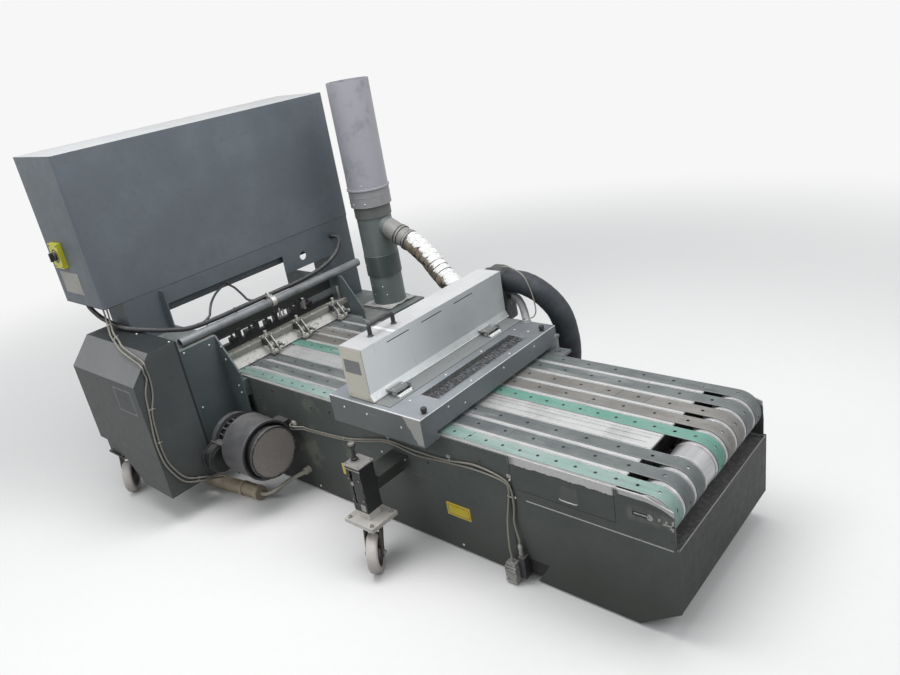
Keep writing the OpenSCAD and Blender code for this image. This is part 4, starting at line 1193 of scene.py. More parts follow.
def panel_seams(bm):
    low, high = cover_low, cover_high
    block(bm, (low.x - 1.8, -SEAM_T, low.z - 2.2), (high.x + 1.6, 0.6, low.z + 0.4))
    block(bm, (low.x - 1.9, -SEAM_T, low.z), (low.x + 0.5, 0.6, high.z - 1))
    block(bm, (high.x - 0.5, -SEAM_T, low.z), (high.x + 1.9, 0.6, high.z - 1))
    block(bm, (low.x - 17.2, -0.2, 104), (low.x - 14.8, 0.6, low.z - 20))
    block(bm, (-2364, -SEAM_T, TABLE_H - 169), (-2166, 0.4, TABLE_H - 166.5))


piece("panel_seams", panel_seams, dark_slot, smooth=False)

bright_screws = [(-918, 32), (-618, 363), (-1801, 29), (-1297, 363), (-1165, 363)]
dark_screws = [(-762, 477), (-1718, 474), (-1033, 388), (-1593, 480), (-1990, 500), (-2120, 430)]


def panel_screws(bm):
    for x, z in bright_screws:
        dome_screw(bm, (x, 0, z), FRONT, 5.5)


def dull_screws(bm):
    for x, z in dark_screws:
        dome_screw(bm, (x, 0, z), FRONT, 6.5)
    for x in (-2200, -1700, -1200, -700):
        dome_screw(bm, (x, TABLE_W, 470), BACK, 6.5)
        dome_screw(bm, (x, TABLE_W, 60), BACK, 6.5)


piece("panel_screws", panel_screws, bright_zinc)
piece("dull_screws", dull_screws, black_paint)


card_yellow = moulded("yellow card", (0.60, 0.47, 0.035), 0.42, dust=0.35, dust_colour=(0.22, 0.19, 0.10))
piece("yellow_card", lambda bm: block(bm, (-973, -1.3, 166), (-853, 0.2, 227)), card_yellow,
      bevel=0.0008)


def card_line(bm):
    for z in (174, 215):
        block(bm, (-966, -1.45, z), (-860, -1.2, z + 1.6))
    for x in (-966, -861.6):
        block(bm, (x, -1.45, 174), (x + 1.6, -1.2, 216.6))


piece("card_line", card_line, dark_slot, smooth=False)


def card_rivets(bm):
    for x in (-967, -859):
        for z in (172, 221):
            turned(bm, (x, -1.3, z), FRONT, [(0, 2.2), (0.8, 2.0), (1.3, 0)], 12)


piece("card_rivets", card_rivets, bright_zinc)

# %% [markdown]
# The grip is a pressed dish. Its floor slopes out to the lower lip, which fingers
# have polished. A small grid gives the dish, its depth worked out from the place
# of each point, so the shading rolls softly into it.

# %% Grip dish in the side cover
def grip_dish(bm):
    x0, x1, z0, z1 = -427.5, -351.5, 420.5, 485.5
    columns, rows = 20, 16
    grid = []
    for r in range(rows + 1):
        v = r / rows
        line = []
        for c in range(columns + 1):
            u = c / columns
            side = min(1.0, min(u, 1 - u) * 7)
            up = min(1.0, (1 - v) * 12)
            deep = 3.2 * math.sin(side * math.pi / 2) * up * min(1.0, v * 1.9 + 0.03)
            line.append(bm.verts.new(at(x0 + (x1 - x0) * u, deep - 0.15, z0 + (z1 - z0) * v)))
        grid.append(line)
    for a, b in zip(grid, grid[1:]):
        for k in range(columns):
            bm.faces.new([a[k], a[k + 1], b[k + 1], b[k]])


grip_paint = painted("rubbed grip", (0.050, 0.053, 0.050), 0.38, dust=0.2, worn=0.9, round_by=0.0)
piece("grip_dish", grip_dish, grip_paint)


def grip_lip(bm):
    tube(bm, [(-425, -0.6, 425), (-421, -0.8, 421.5), (-412, -0.9, 420.2), (-389, -0.9, 420), (-366, -0.9, 420.2),
              (-357, -0.8, 421.5), (-353, -0.6, 425)], 2.0, 8)


piece("grip_lip", grip_lip, bare_metal("rubbed lip", (0.58, 0.58, 0.56), 0.35, metal=0.3))
print("operator's panel detailed")

# %% [markdown]
# Suction works through slots in the table under every line of holes. Where the
# belts stop short of the delivery roller, narrow steel rings stand between them
# and keep them apart. The rings turn with the roller, so they ride on its body.

# %% Suction slots, roller rings and belt joints
table_low, table_high = span("table_plate")
PLATE_Z = TABLE_H + 2.5


def suction_slots(bm):
    for place in (0, 1, 2, 4, 5, 6, 7, 8):
        y = FIRST_BELT + PITCH * place
        block(bm, (table_low.x + 60, y - 6.5, PLATE_Z - 0.2), (table_high.x - 12, y + 6.5, PLATE_Z + 0.14))


piece("suction_slots", suction_slots, black_inside, smooth=False)


def roller_rings(bm):
    for k in range(8):
        y = FIRST_BELT + PITCH * (k + 0.5)
        turned(bm, (ROLLER_X, y, AXIS_Z), BACK,
               [(-6.5, 76.8), (-6.5, 78.4), (-5.4, 79.5), (5.4, 79.5), (6.5, 78.4), (6.5, 76.8)], 96, closed=False)
    for y in (14.2, TABLE_W - 14.2):
        turned(bm, (ROLLER_X, y, AXIS_Z), BACK,
               [(-0.1, 12.2), (-0.1, 24), (0.15, 26), (0.15, 66), (-0.1, 70), (-0.1, 77)], 64, closed=False)


piece("roller_rings", roller_rings, roller_steel, body="delivery")


def near_flange(bm):
    for y0, y1 in ((6.2, 8.8), (TABLE_W - 8.8, TABLE_W - 6.2)):
        turned(bm, (ROLLER_X, y0, AXIS_Z), BACK,
               [(0, 60), (0, 76), (0.8, 77.6), (y1 - y0 - 0.8, 77.6), (y1 - y0, 76), (y1 - y0, 60)], 96, closed=False)


piece("guide_flanges", near_flange, roller_steel)


def belt_joints(bm):
    top = BELT_R + AXIS_Z
    for place, x, skew in ((6, -367, 14), (6, -488, 9), (8, -342, 12), (5, -560, 12), (1, -700, 10), (0, -830, 12)):
        y = FIRST_BELT + PITCH * place
        outline = [(x, y - 29.2, top - 0.1), (x + 1.6, y - 29.2, top - 0.1), (x + 1.6 + skew, y + 29.2, top - 0.1),
                   (x + skew, y + 29.2, top - 0.1)]
        plate(bm, outline, UP, 0.3)


piece("belt_joints", belt_joints, dark_slot, smooth=False)
print("rings and slots done")

# %% [markdown]
# The near end plate carries the belt tensioner: a slot with its screw, a square
# nut and a small angle bracket held by two hexagon bolts. The tray behind it
# has a folded rim, and hands and sheets have rubbed that rim bright.

# %% Tensioner and tray rim
def tensioner(bm):
    z = AXIS_Z
    for y, out in ((0, -1), (TABLE_W, 1)):
        tube(bm, [(-146, y - out * 2, z + 1), (-104, y - out * 2, z + 1)], 3.6, 12)
        hex_bolt(bm, (-60, y, z + 4), (0, out, 0), 5, stud=3)
        hex_bolt(bm, (-36, y, z + 2), (0, out, 0), 5.5, stud=4)
        hex_bolt(bm, (-22, y, z - 15), (0, out, 0), 4.5)
        lo, hi = sorted((y, y + out * 3))
        block(bm, (-47, lo, z - 9), (-13, hi, z - 3))
        block(bm, (-19, lo, z - 24), (-13, hi, z + 14))
        turned(bm, (ROLLER_X, y - out * 1.5, z), (0, out, 0), [(0, 8.6), (1.4, 8.6), (2.4, 7.2), (2.6, 4),
                                                               (1.4, 3.4)],
               32)


dull_zinc = bare_metal("dirty zinc", (0.22, 0.215, 0.20), 0.45, brushed=(1, 1, 1), metal=0.4, stain=0.7)
worn_zinc = bare_metal("worn zinc", (0.34, 0.335, 0.32), 0.42, brushed=(1, 1, 1), metal=0.4, stain=0.9,
                       dirt=(0.06, 0.058, 0.055))
piece("tensioner", tensioner, worn_zinc)
piece("tension_slot", lambda bm: block(bm, (-152, -0.25, AXIS_Z - 7), (-96, 0.6, AXIS_Z + 9)), dark_slot,
      smooth=False)


def tray_dust(bm):
    """A dark ledge full of dust under the roller."""
    z = TABLE_H - 176
    block(bm, (-150, 10.4, z - 3), (-4.4, TABLE_W - 10.4, z))


tray_dirt = moulded("dusty ledge", (0.052, 0.052, 0.051), 0.7, dust=0.7, dust_colour=(0.13, 0.125, 0.12), round_by=0)
piece("tray_dust", tray_dust, tray_dirt, smooth=False)


def tray_rim(bm):
    z = TABLE_H - 172
    block(bm, (-4.4, 6.5, z - 0.2), (-0.1, TABLE_W - 6.5, z + 1.2))
    for y in (6.4, TABLE_W - 10.4):
        block(bm, (-150, y, z - 0.2), (-4.4, y + 4, z + 1.2))


rim_paint = painted("rubbed rim", (0.20, 0.205, 0.20), 0.40, dust=0.2, worn=1.0)
piece("tray_rim", tray_rim, rim_paint, bevel=0.0004)
print("delivery end detailed")

# %% [markdown]
# Sheets come in under a cream guide bar. Three sprung brackets on it press small
# rollers on the belts. A bracket is busy with little things: a coil spring, a
# knurled thumb screw, a stop pin and a second small roller on an arm. They are
# made once as a function and placed three times.

# %% Sprung brackets over the entry
roll_low, roll_high = span("holddown_rollers")
HOLD_X = (roll_low.x + roll_high.x) / 2
HOLD_Z = (roll_low.z + roll_high.z) / 2
BAR_TOP = TABLE_H + 90
BRACKETS = (225, 428, 680)


def coil(bm, start, end, radius, wire, turns):
    a, b = Vector(start), Vector(end)
    d = (b - a).normalized()
    u = Vector((0, 1, 0)) if abs(d.y) < 0.9 else Vector((1, 0, 0))
    u = (u - d * u.dot(d)).normalized()
    v = d.cross(u)
    n = int(turns * 14)
    route = []
    for k in range(n + 1):
        t = 2 * math.pi * turns * k / n
        route.append(a + (b - a) * (k / n) + (u * math.cos(t) + v * math.sin(t)) * radius)
    tube(bm, route, wire, 6)


def bracket_metal(bm):
    for y in BRACKETS:
        coil(bm, (HOLD_X - 34, y - 8, BAR_TOP + 11), (HOLD_X - 34, y - 8, BAR_TOP + 33), 6.5, 1.0, 7)
        turned(bm, (HOLD_X - 34, y - 8, BAR_TOP + 9), UP, [(0, 3), (26, 3), (26, 8.5), (34, 8.5), (35, 7), (35, 0)],
               20)
        hex_bolt(bm, (HOLD_X - 56, y + 12, BAR_TOP + 10), UP, 5.5)
        hex_bolt(bm, (HOLD_X - 56, y - 14, BAR_TOP + 10), UP, 5.5)
        for side in (-1, 1):
            hex_bolt(bm, (HOLD_X, y + side * 19.8, HOLD_Z), (0, side, 0), 5)
            turned(bm, (HOLD_X - 22, y + side * 19.6, HOLD_Z + 30), (0, side, 0), [(0, 4.5), (2.5, 4), (3, 0)], 14)
        tube(bm, [(HOLD_X - 22, y - 22, HOLD_Z + 30), (HOLD_X - 22, y + 44, HOLD_Z + 30)], 3, 10)
        tube(bm, smooth_route([(HOLD_X - 22, y + 42, HOLD_Z + 30), (HOLD_X - 12, y + 42, HOLD_Z + 34),
                               (HOLD_X + 4, y + 42, HOLD_Z + 31), (HOLD_X + 16, y + 42, HOLD_Z + 26)], 4), 2.6, 8)


piece("bracket_metal", bracket_metal, bright_zinc)


def bracket_cream(bm):
    for y in BRACKETS:
        turned(bm, (HOLD_X + 18, y + 37, HOLD_Z + 26), BACK, [(0, 5), (0, 10), (1.5, 11), (9.5, 11), (11, 10),
                                                              (11, 5)], 28)
        block(bm, (HOLD_X - 48, y + 20, BAR_TOP - 4), (HOLD_X - 26, y + 27, BAR_TOP + 16))
        block(bm, (HOLD_X - 68, y - 30, BAR_TOP - 26), (HOLD_X - 63, y + 30, BAR_TOP + 12))


piece("bracket_cream", bracket_cream, cream_paint, bevel=0.0009)


def bracket_dark(bm):
    for y in BRACKETS:
        block(bm, (HOLD_X - 44, y - 36, BAR_TOP - 26), (HOLD_X - 10, y - 26, BAR_TOP + 8))
        block(bm, (HOLD_X - 26, y + 28, HOLD_Z + 16), (HOLD_X + 2, y + 46, HOLD_Z + 24))
        block(bm, (HOLD_X - 14, y - 14, HOLD_Z + 21), (HOLD_X + 4, y + 14, HOLD_Z + 27))
        for z in (6, 19):
            block(bm, (HOLD_X + 24, y - 25, HOLD_Z + z), (HOLD_X + 26.4, y - 19, HOLD_Z + z + 6))


piece("bracket_dark", bracket_dark, black_paint, bevel=0.0006)
piece("bracket_white", lambda bm: [block(bm, (HOLD_X + 9, y - 26, HOLD_Z + 2), (HOLD_X + 26, y - 18, HOLD_Z + 29))
                                   for y in BRACKETS], pale_plastic, bevel=0.0008)


def press_rollers(bm):
    for y in BRACKETS:
        r = (roll_high.z - roll_low.z) / 2
        turned(bm, (HOLD_X, y - 12, HOLD_Z), BACK,
               [(0, 4.2), (0, r - 2), (0.8, r - 0.4), (2, r), (22, r), (23.2, r - 0.4), (24, r - 2), (24, 4.2)], 36)
        turned(bm, (HOLD_X, y - 24, HOLD_Z), BACK, [(0, 3.4), (0.6, 4), (60, 4), (60, 0)], 16)
        turned(bm, (HOLD_X, y + 25, HOLD_Z), BACK, [(0, 4.2), (0, 8), (1, 9), (11, 9), (12, 8), (12, 0)], 24)


piece("press_rollers", press_rollers, cream_rollers, body="holddown",
      covers=["holddown_rollers"])
print("three brackets made")

# %% [markdown]
# Behind the cream bar run a black square bar and a rail with sensor blocks. The
# blocks are small machined housings with cable ends, and one of them has a
# bright sleeve. A clamp with a strap holds the main cable beside the pale pipe.

# %% Sensors, blocks and the pipe's clamp
RAIL_X, RAIL_Z = -2405, TABLE_H + 140


def sensor_blocks(bm):
    for y, wide, tall in ((112, 14, 24), (222, 33, 28), (330, 16, 30), (494, 19, 36), (610, 15, 24)):
        block(bm, (RAIL_X - 16, y - wide, RAIL_Z - 44), (RAIL_X + 22, y + wide, RAIL_Z - 44 + tall))
        turned(bm, (RAIL_X, y, RAIL_Z - 44 + tall), UP, [(0, 7), (9, 7), (10, 5), (16, 5), (16, 0)], 16)
    for y in (150, 262, 385, 540):
        for z in (RAIL_Z - 30, RAIL_Z - 6):
            turned(bm, (RAIL_X + 12, y, z), OUT, [(0, 4), (2.5, 4), (2.5, 2.4), (1, 2.4), (1, 0)], 14)


piece("sensor_blocks", sensor_blocks, black_plastic, bevel=0.0010)


def bright_sleeves(bm):
    turned(bm, (RAIL_X + 19, 570, RAIL_Z - 43), UP, [(0, 10), (4, 10), (4, 8), (52, 8), (54, 9.4), (60, 9.4),
                                                     (62, 7), (62, 0)], 20)
    turned(bm, (RAIL_X + 4, 418, RAIL_Z - 30), UP, [(0, 9), (3, 9), (3, 7.5), (40, 7.5), (41, 6), (48, 6), (48, 0)],
           20)
    turned(bm, (RAIL_X + 4, 440, RAIL_Z - 30), UP, [(0, 5), (34, 5), (34, 0)], 16)
    block(bm, (RAIL_X - 4, 404, RAIL_Z - 34), (RAIL_X + 12, 452, RAIL_Z - 29))
    turned(bm, (-2340, 783, TABLE_H + 60), UP, [(0, 7), (86, 7), (86, 9), (94, 9), (95, 7), (95, 0)], 18)
    for x in (-2306, -2290):
        for y in (118, 330, 540, 640):
            turned(bm, (x + 10, y, BAR_TOP), UP, [(0, 4.5), (2.5, 4.2), (3, 2.2), (1.5, 2.2), (1.5, 0)], 12)


piece("bright_sleeves", bright_sleeves, bright_zinc)

PIPE_X, PIPE_R = -2330, 22
PIPE_Z = TABLE_H + 212 + PIPE_R + 0.3
CLAMP_Y = 345


def pipe_clamp(bm):
    turned(bm, (PIPE_X, CLAMP_Y - 13, PIPE_Z), BACK, [(0, 22.2), (0, 27.6), (1, 28.4), (25, 28.4), (26, 27.6),
                                                      (26, 22.2)],
           40, closed=False)
    ring = [(-2368 + 14.5 * math.cos(t), CLAMP_Y + 4, TABLE_H + 258 + 14.5 * math.sin(t))
            for t in [2 * math.pi * k / 24 for k in range(25)]]
    tube(bm, ring, 2.2, 8, caps=False)
    block(bm, (-2356, CLAMP_Y - 12, PIPE_Z + 18), (-2334, CLAMP_Y + 12, PIPE_Z + 31))
    hex_bolt(bm, (-2345, CLAMP_Y, PIPE_Z + 31), UP, 6, stud=5)


piece("pipe_clamp", pipe_clamp, bright_zinc)


def plate_bolts(bm):
    for x, z in ((-2247, 634), (-2199, 504), (-2191, 467), (-2258, 700)):
        dome_screw(bm, (x, -41, z), FRONT, 6)
    for y, z in ((-212, 737), (-205, 447), (-80, 720), (-80, 300)):
        dome_screw(bm, (-2288, y, z), OUT, 6)
    for x, z in ((-2200, 520), (-2240, 640)):
        dome_screw(bm, (x, TABLE_W + 41, z), BACK, 6)


piece("plate_bolts", plate_bolts, bright_zinc)
print("entry detailed")

# %% [markdown]
# The blower is a satin drum with a dark gap, a bright collar and a disc of fine
# honeycomb mesh that keeps rags out. Honeycomb is easy to make well: lay out
# hexagons, and join each outer hexagon to a smaller one inside it. What remains
# is a sheet with over a thousand true holes and very few faces per hole.

# %% Blower intake
BLOW_Y, BLOW_Z = -172, 306
DRUM_X1 = -1870
FACE_X = span("blower_grille")[1].x


def honeycomb(bm):
    pitch, reach = 6.0, 116.0
    big = pitch / math.sqrt(3)
    corners = {}

    def shared(y, z):
        key = (round(y, 2), round(z, 2))
        if key not in corners:
            corners[key] = bm.verts.new(at(FACE_X - 3, BLOW_Y + y, BLOW_Z + z))
        return corners[key]

    rows = int(reach / (big * 1.5)) + 1
    for r in range(-rows, rows + 1):
        for c in range(-24, 25):
            y = (c + (r % 2) * 0.5) * pitch
            z = r * big * 1.5
            if math.hypot(y, z) > reach - 2.5:
                continue
            turns = [math.radians(30 + 60 * k) for k in range(6)]
            outer = [shared(y + big * math.cos(t), z + big * math.sin(t)) for t in turns]
            inner = [bm.verts.new(at(FACE_X - 3, BLOW_Y + y + 2.15 * math.cos(t), BLOW_Z + z + 2.15 * math.sin(t)))
                     for t in turns]
            for k in range(6):
                n = (k + 1) % 6
                bm.faces.new([outer[k], outer[n], inner[n], inner[k]])


mesh_metal = bare_metal("intake mesh", (0.46, 0.42, 0.39), 0.5, brushed=(1, 1, 1), metal=0.25, stain=0.25,
                        dirt=(0.20, 0.17, 0.15), round_by=0.0)
intake = piece("intake_mesh", honeycomb, mesh_metal, smooth=False)
print("mesh holes:", len(intake.data.polygons) // 6)


def intake_collar(bm):
    spot = (DRUM_X1 - 20, BLOW_Y, BLOW_Z)
    reach = FACE_X - DRUM_X1 + 20
    turned(bm, spot, OUT, [(0, 112), (reach - 16, 112), (reach - 14, 120), (reach - 13, 121.6), (reach - 2, 121.6),
                                 (reach - 0.4, 120.6), (reach - 0.2, 118.5), (reach - 1.0, 115.5),
                                 (reach - 5, 115.2)],
           96, closed=False)


collar_metal = painted("intake collar", (0.020, 0.020, 0.021), 0.42, dust=0.3, worn=1.0)
piece("intake_collar", intake_collar, collar_metal, covers=["blower_grille"])


def intake_dark(bm):
    turned(bm, (FACE_X - 12, BLOW_Y, BLOW_Z), OUT, [(0, 0), (0.1, 115.4)], 64, closed=False)


intake_grey = moulded("behind the mesh", (0.085, 0.078, 0.073), 0.7, dust=0.4, round_by=0.0)
piece("intake_back", intake_dark, intake_grey, smooth=False)


def drum_gap(bm):
    turned(bm, (DRUM_X1 - 19.6, BLOW_Y, BLOW_Z), OUT, [(0, 111), (0, 129.6), (19.4, 129.8)], 96, closed=False)


piece("drum_gap", drum_gap, black_inside, smooth=False)


def drum_rims(bm):
    for x, out in ((DRUM_X1, 1), (-2030, -1)):
        turned(bm, (x, BLOW_Y, BLOW_Z), (out, 0, 0), [(-9, 139.8), (-8, 141.2), (-2, 141.2), (0.3, 140), (0.6, 136),
                                                      (-0.5, 131)],
               96, closed=False)
    for t in (40, 130, 220, 310):
        a = math.radians(t)
        hex_bolt(bm, (-1990, BLOW_Y + 140 * math.cos(a), BLOW_Z + 140 * math.sin(a)), (0, math.cos(a), math.sin(a)),
                 5)


piece("drum_rims", drum_rims, drum_grey)
print("blower dressed")

# %% [markdown]
# Between the drum and the side housing sits the finned motor. Its fins run along
# the shaft, so they are thin blocks turned round the axis, and two rubber bands ring
# the port beside it.

# %% Motor fins
def motor_fins(bm):
    for k in range(30):
        t = 2 * math.pi * k / 30
        out = Vector((0, math.cos(t), math.sin(t)))
        across = Vector((0, -math.sin(t), math.cos(t)))
        centre = Vector((0, BLOW_Y, BLOW_Z))
        a = centre + out * 86
        corners = [a - across * 1.6, a + across * 1.6, a + out * 9 + across * 1.1, a + out * 9 - across * 1.1]
        plate(bm, [(-2108, c.y, c.z) for c in corners], OUT, 76)


piece("motor_fins", motor_fins, black_paint, smooth=False)


def port_rim(bm):
    for x in (-2206, -2150):
        turned(bm, (x, -262, 238), OUT, [(0, 62), (0, 66.5), (1, 68), (9, 68), (10, 66.5), (10, 62)], 48,
               closed=False)


piece("port_bands", port_rim, black_rubber)
print("motor finned")

# %% [markdown]
# The wheels are grey rubber on iron hubs. A turned profile with round shoulders
# gives the tread, a dished web and a greased hub give the middle, and the axle
# is a bolt with a nut. The same function makes both visible wheels; each rides
# on its own body, so it rolls and swivels.

# %% Castor wheels
WHEEL_R = 80.0
TRAIL = 64
hub_iron = bare_metal("hub iron", (0.115, 0.105, 0.095), 0.6, brushed=(1, 1, 1), metal=0.3, stain=0.8)


def castor_wheel(centre, angle):
    def build(bm):
        a = math.radians(angle)
        axis = (-math.sin(a), math.cos(a), 0)
        spot = (centre[0] + TRAIL * math.cos(a), centre[1] + TRAIL * math.sin(a), WHEEL_R)
        turned(bm, spot, axis, [(-19, 57), (-22, 60), (-23, 64), (-23, 71), (-21.5, 75.5), (-18, 78.6), (-13, 79.8),
                                (0, 80), (13, 79.8), (18, 78.6), (21.5, 75.5), (23, 71), (23, 64), (22, 60),
                                (19, 57)],
               72, 0, closed=False)
        for side in (-1, 1):
            turned(bm, spot, (axis[0] * side, axis[1] * side, 0),
                   [(19, 57.2), (17, 55), (9, 52), (7, 40), (9, 28), (20, 23), (25, 21.6), (26, 19), (26, 8)], 48, 1,
                   closed=False)
            for k in range(5):
                t = 2 * math.pi * k / 5
                u, v = frame_along(Vector(axis))
                mid = u * math.cos(t) + v * math.sin(t)
                tall = mid * 38
                place = Vector(spot) + Vector(axis) * side * 11 + tall
                across = (u * -math.sin(t) + v * math.cos(t)) * 2.4
                ends = [place - mid * 16 - across, place - mid * 16 + across, place + mid * 15 + across,
                        place + mid * 15 - across]
                plate(bm, ends, Vector(axis) * -side, 4, 1)
    return build


def axle_bolt(centre, angle):
    def build(bm):
        a = math.radians(angle)
        axis = Vector((-math.sin(a), math.cos(a), 0))
        spot = Vector((centre[0] + TRAIL * math.cos(a), centre[1] + TRAIL * math.sin(a), WHEEL_R))
        for side in (-1, 1):
            hex_bolt(bm, spot + axis * side * 34.2, axis * side, 10, stud=3 if side > 0 else 0)
        turned(bm, (centre[0], centre[1], 174), UP, [(-9, 26), (-9, 39), (-6, 41), (0, 41), (2, 38), (4, 38), (6, 41),
                                                           (13, 41), (16, 38.5), (19, 38.5), (19, 30)], 48,
                                                           closed=False)
    return build


JACK_C, JACK_A = (-1198, -204), -52
SIDE_C, SIDE_A = (-2785, -428), -38
for name, centre, angle, tyre, swivel in (("jack", JACK_C, JACK_A, "jack_tyre", "jack_swivel_fork"),
                                          ("side", SIDE_C, SIDE_A, "side_tyre", "side_swivel_fork")):
    piece(name + "_tyre_piece", castor_wheel(centre, angle), [tread_rubber, hub_iron], body=tyre,
          covers=[name + "_wheel"])
    piece(name + "_axle_bolt", axle_bolt(centre, angle), caster_iron, body=swivel)
print("wheels turned")


# %% Bolts and screw of the jack
def plate_fixings(bm):
    for dx, dy in ((-62, -54), (62, -54), (-62, 54), (62, 54)):
        hex_bolt(bm, (JACK_C[0] + dx, JACK_C[1] + dy, 218), UP, 9, stud=4)
        turned(bm, (JACK_C[0] + dx, JACK_C[1] + dy, 200), (0, 0, -1), [(0, 9), (7, 9), (8, 7), (8, 0)], 6)
    block(bm, (JACK_C[0] - 80, JACK_C[1] - 70, 208.6), (JACK_C[0] + 80, JACK_C[1] + 70, 209.4))


piece("jack_plate_bolts", plate_fixings, caster_iron, body="jack", bevel=0.0003)


def jack_details(bm):
    face = JACK_C[1] - 38
    lid = TABLE_H - 73
    for x, z in ((-1171, 406), (-1170, 314), (-1229, 404), (-1229, 305)):
        hex_bolt(bm, (x, face, z), FRONT, 5.5, washer=False)
    for dx, dy in ((-34, -34), (34, -34), (-34, 30), (36, 30)):
        dome_screw(bm, (JACK_C[0] + dx, JACK_C[1] + dy, lid), UP, 5.5)
    x, y = JACK_C[0] - 18, JACK_C[1]
    turned(bm, (x, y, lid + 68), UP, [(0, 14.4), (2, 14.6), (9, 14.6), (10.5, 12), (10.8, 0)], 6)
    turned(bm, (x, y, lid), UP, [(0, 20), (2.2, 20), (2.6, 18), (2.6, 14)], 28, closed=False)


piece("jack_screws", jack_details, dull_zinc)


def jack_thread(bm):
    for k in range(16):
        turned(bm, (JACK_C[0] - 18, JACK_C[1], TABLE_H - 60 + k * 2.8), UP,
               [(0, 7.05), (1.1, 7.6), (1.7, 7.6), (2.8, 7.05)], 16, closed=False)


piece("jack_thread", jack_thread, black_paint)


def jack_lid(bm):
    x, y, z = JACK_C[0], JACK_C[1], TABLE_H - 79
    block(bm, (x - 43.4, y - 42.4, z - 0.4), (x + 44.4, y + 41.4, z + 6.3))
    block(bm, (x - 43, y - 42, z - 13), (x + 44, y - 38.2, z - 8.5))


lid_metal = bare_metal("jack lid", (0.34, 0.325, 0.31), 0.42, brushed=(0.2, 1, 1), metal=0.4, stain=0.5)
piece("jack_lid", jack_lid, lid_metal, bevel=0.0008)


def slot_fittings(bm):
    x, y = JACK_C[0] - 15, JACK_C[1] - 38
    turned(bm, (x, y + 5, 383), FRONT, [(0, 9), (8, 9), (9, 7.5), (9, 0)], 20)
    block(bm, (JACK_C[0] + 4, y - 1.2, 262), (JACK_C[0] + 30, y + 0.6, 292))


piece("jack_slot_fittings", slot_fittings, lid_metal, bevel=0.0006)
piece("jack_yellow_tag", lambda bm: block(bm, (JACK_C[0] - 57, -241, 416), (JACK_C[0] - 42.6, -239, 464)),
      card_yellow,
      bevel=0.0005)
print("jack detailed")

# %% [markdown]
# The side castor hangs from a plate under the housing. Its bolts and the feet of
# the base body are seen from low angles only, but they are what the machine
# stands on, so they are not left plain.

# %% Fixings under the housing
def under_bolts(bm):
    for dx in (-54, 54):
        for dy in (-40, 40):
            hex_bolt(bm, (SIDE_C[0] + dx, SIDE_C[1] + dy, 209), UP, 8, stud=3)
    for x in (-2210, -1500, -760, -330):
        for y in (90, TABLE_W - 90):
            turned(bm, (x, y, 8), UP, [(0, 36), (3, 30), (6, 14), (10, 13), (16, 13), (16, 12)], 28, closed=False)


piece("under_bolts", under_bolts, caster_iron)
print("running gear done")

# %% [markdown]
# Cables and hoses come next. Each follows the same route as its CAD solid, with
# the points written out again in workshop millimetres. A ribbed hose is one tube
# whose radius rises and falls along the way, so its ribs are real and catch the
# light; a plain cable is a smooth tube with a finer skin.

# %% Ribbed tubes
RIB_STEPS = 4


def ribbed(bm, points, radius, pitch, deep, sides=18, steps=10):
    line = even_route(smooth_route(points, steps), pitch / RIB_STEPS)

    def radius_at(i, n):
        return radius - deep * (0.5 + 0.5 * math.cos(2 * math.pi * i / RIB_STEPS))

    tube(bm, line, radius, sides, radius_at=radius_at)


conduit_cream = moulded("conduit cream", (0.37, 0.315, 0.235), 0.5, dust=0.5, dust_colour=(0.13, 0.105, 0.07),
                        round_by=0)
CONDUIT = [(-2486, -236, 149.7), (-2482, -236, 110), (-2440, -237, 58), (-2360, -236, 39), (-2240, -222, 37),
           (-2130, -205, 38), (-2010, -192, 40)]


def conduit(bm):
    ribbed(bm, CONDUIT, 34, 12.0, 6.0, 22)
    turned(bm, (-2040, -195, 39.5), (0.99, 0.10, 0), [(0, 34), (0, 35.6), (24, 35.6), (27, 30), (29, 14)], 28,
           closed=False)
    turned(bm, (-2130, -205, 38), (0.99, 0.11, 0.01), [(-9, 34), (-9, 35.8), (9, 35.8), (9, 34)], 28, closed=False)


piece("floor_conduit", conduit, conduit_cream, covers=["conduit"])

old_white = moulded("old white plastic", (0.36, 0.345, 0.29), 0.42, dust=0.35, dust_colour=(0.20, 0.175, 0.13),
                    round_by=0)
PIPE = [(-2009.2, -192, 40), (-1982, -189, 40.5), (-1948, -170, 52), (-1922, -134, 70), (-1890, -75, 92),
        (-1860, -24, 104)]


def white_pipe(bm):
    tube(bm, smooth_route(PIPE, 10), 10, 18)
    turned(bm, (-1858, 0, 106), FRONT, [(0, 18), (3, 18), (4, 16.5), (12, 16.5), (13, 17.6), (27, 17.6), (29, 15.5),
                                             (30, 10.2)], 28, closed=False)


piece("white_pipe", white_pipe, old_white, covers=["conduit_pipe"])
print("conduit ribbed")

# %% [markdown]
# Two thin pale cables run from a gland along the side panel, and two more come
# down the side housing. They are tied together here and there. Old cable is not
# clean: it is yellowed, smudged by hands and darker where it rests.

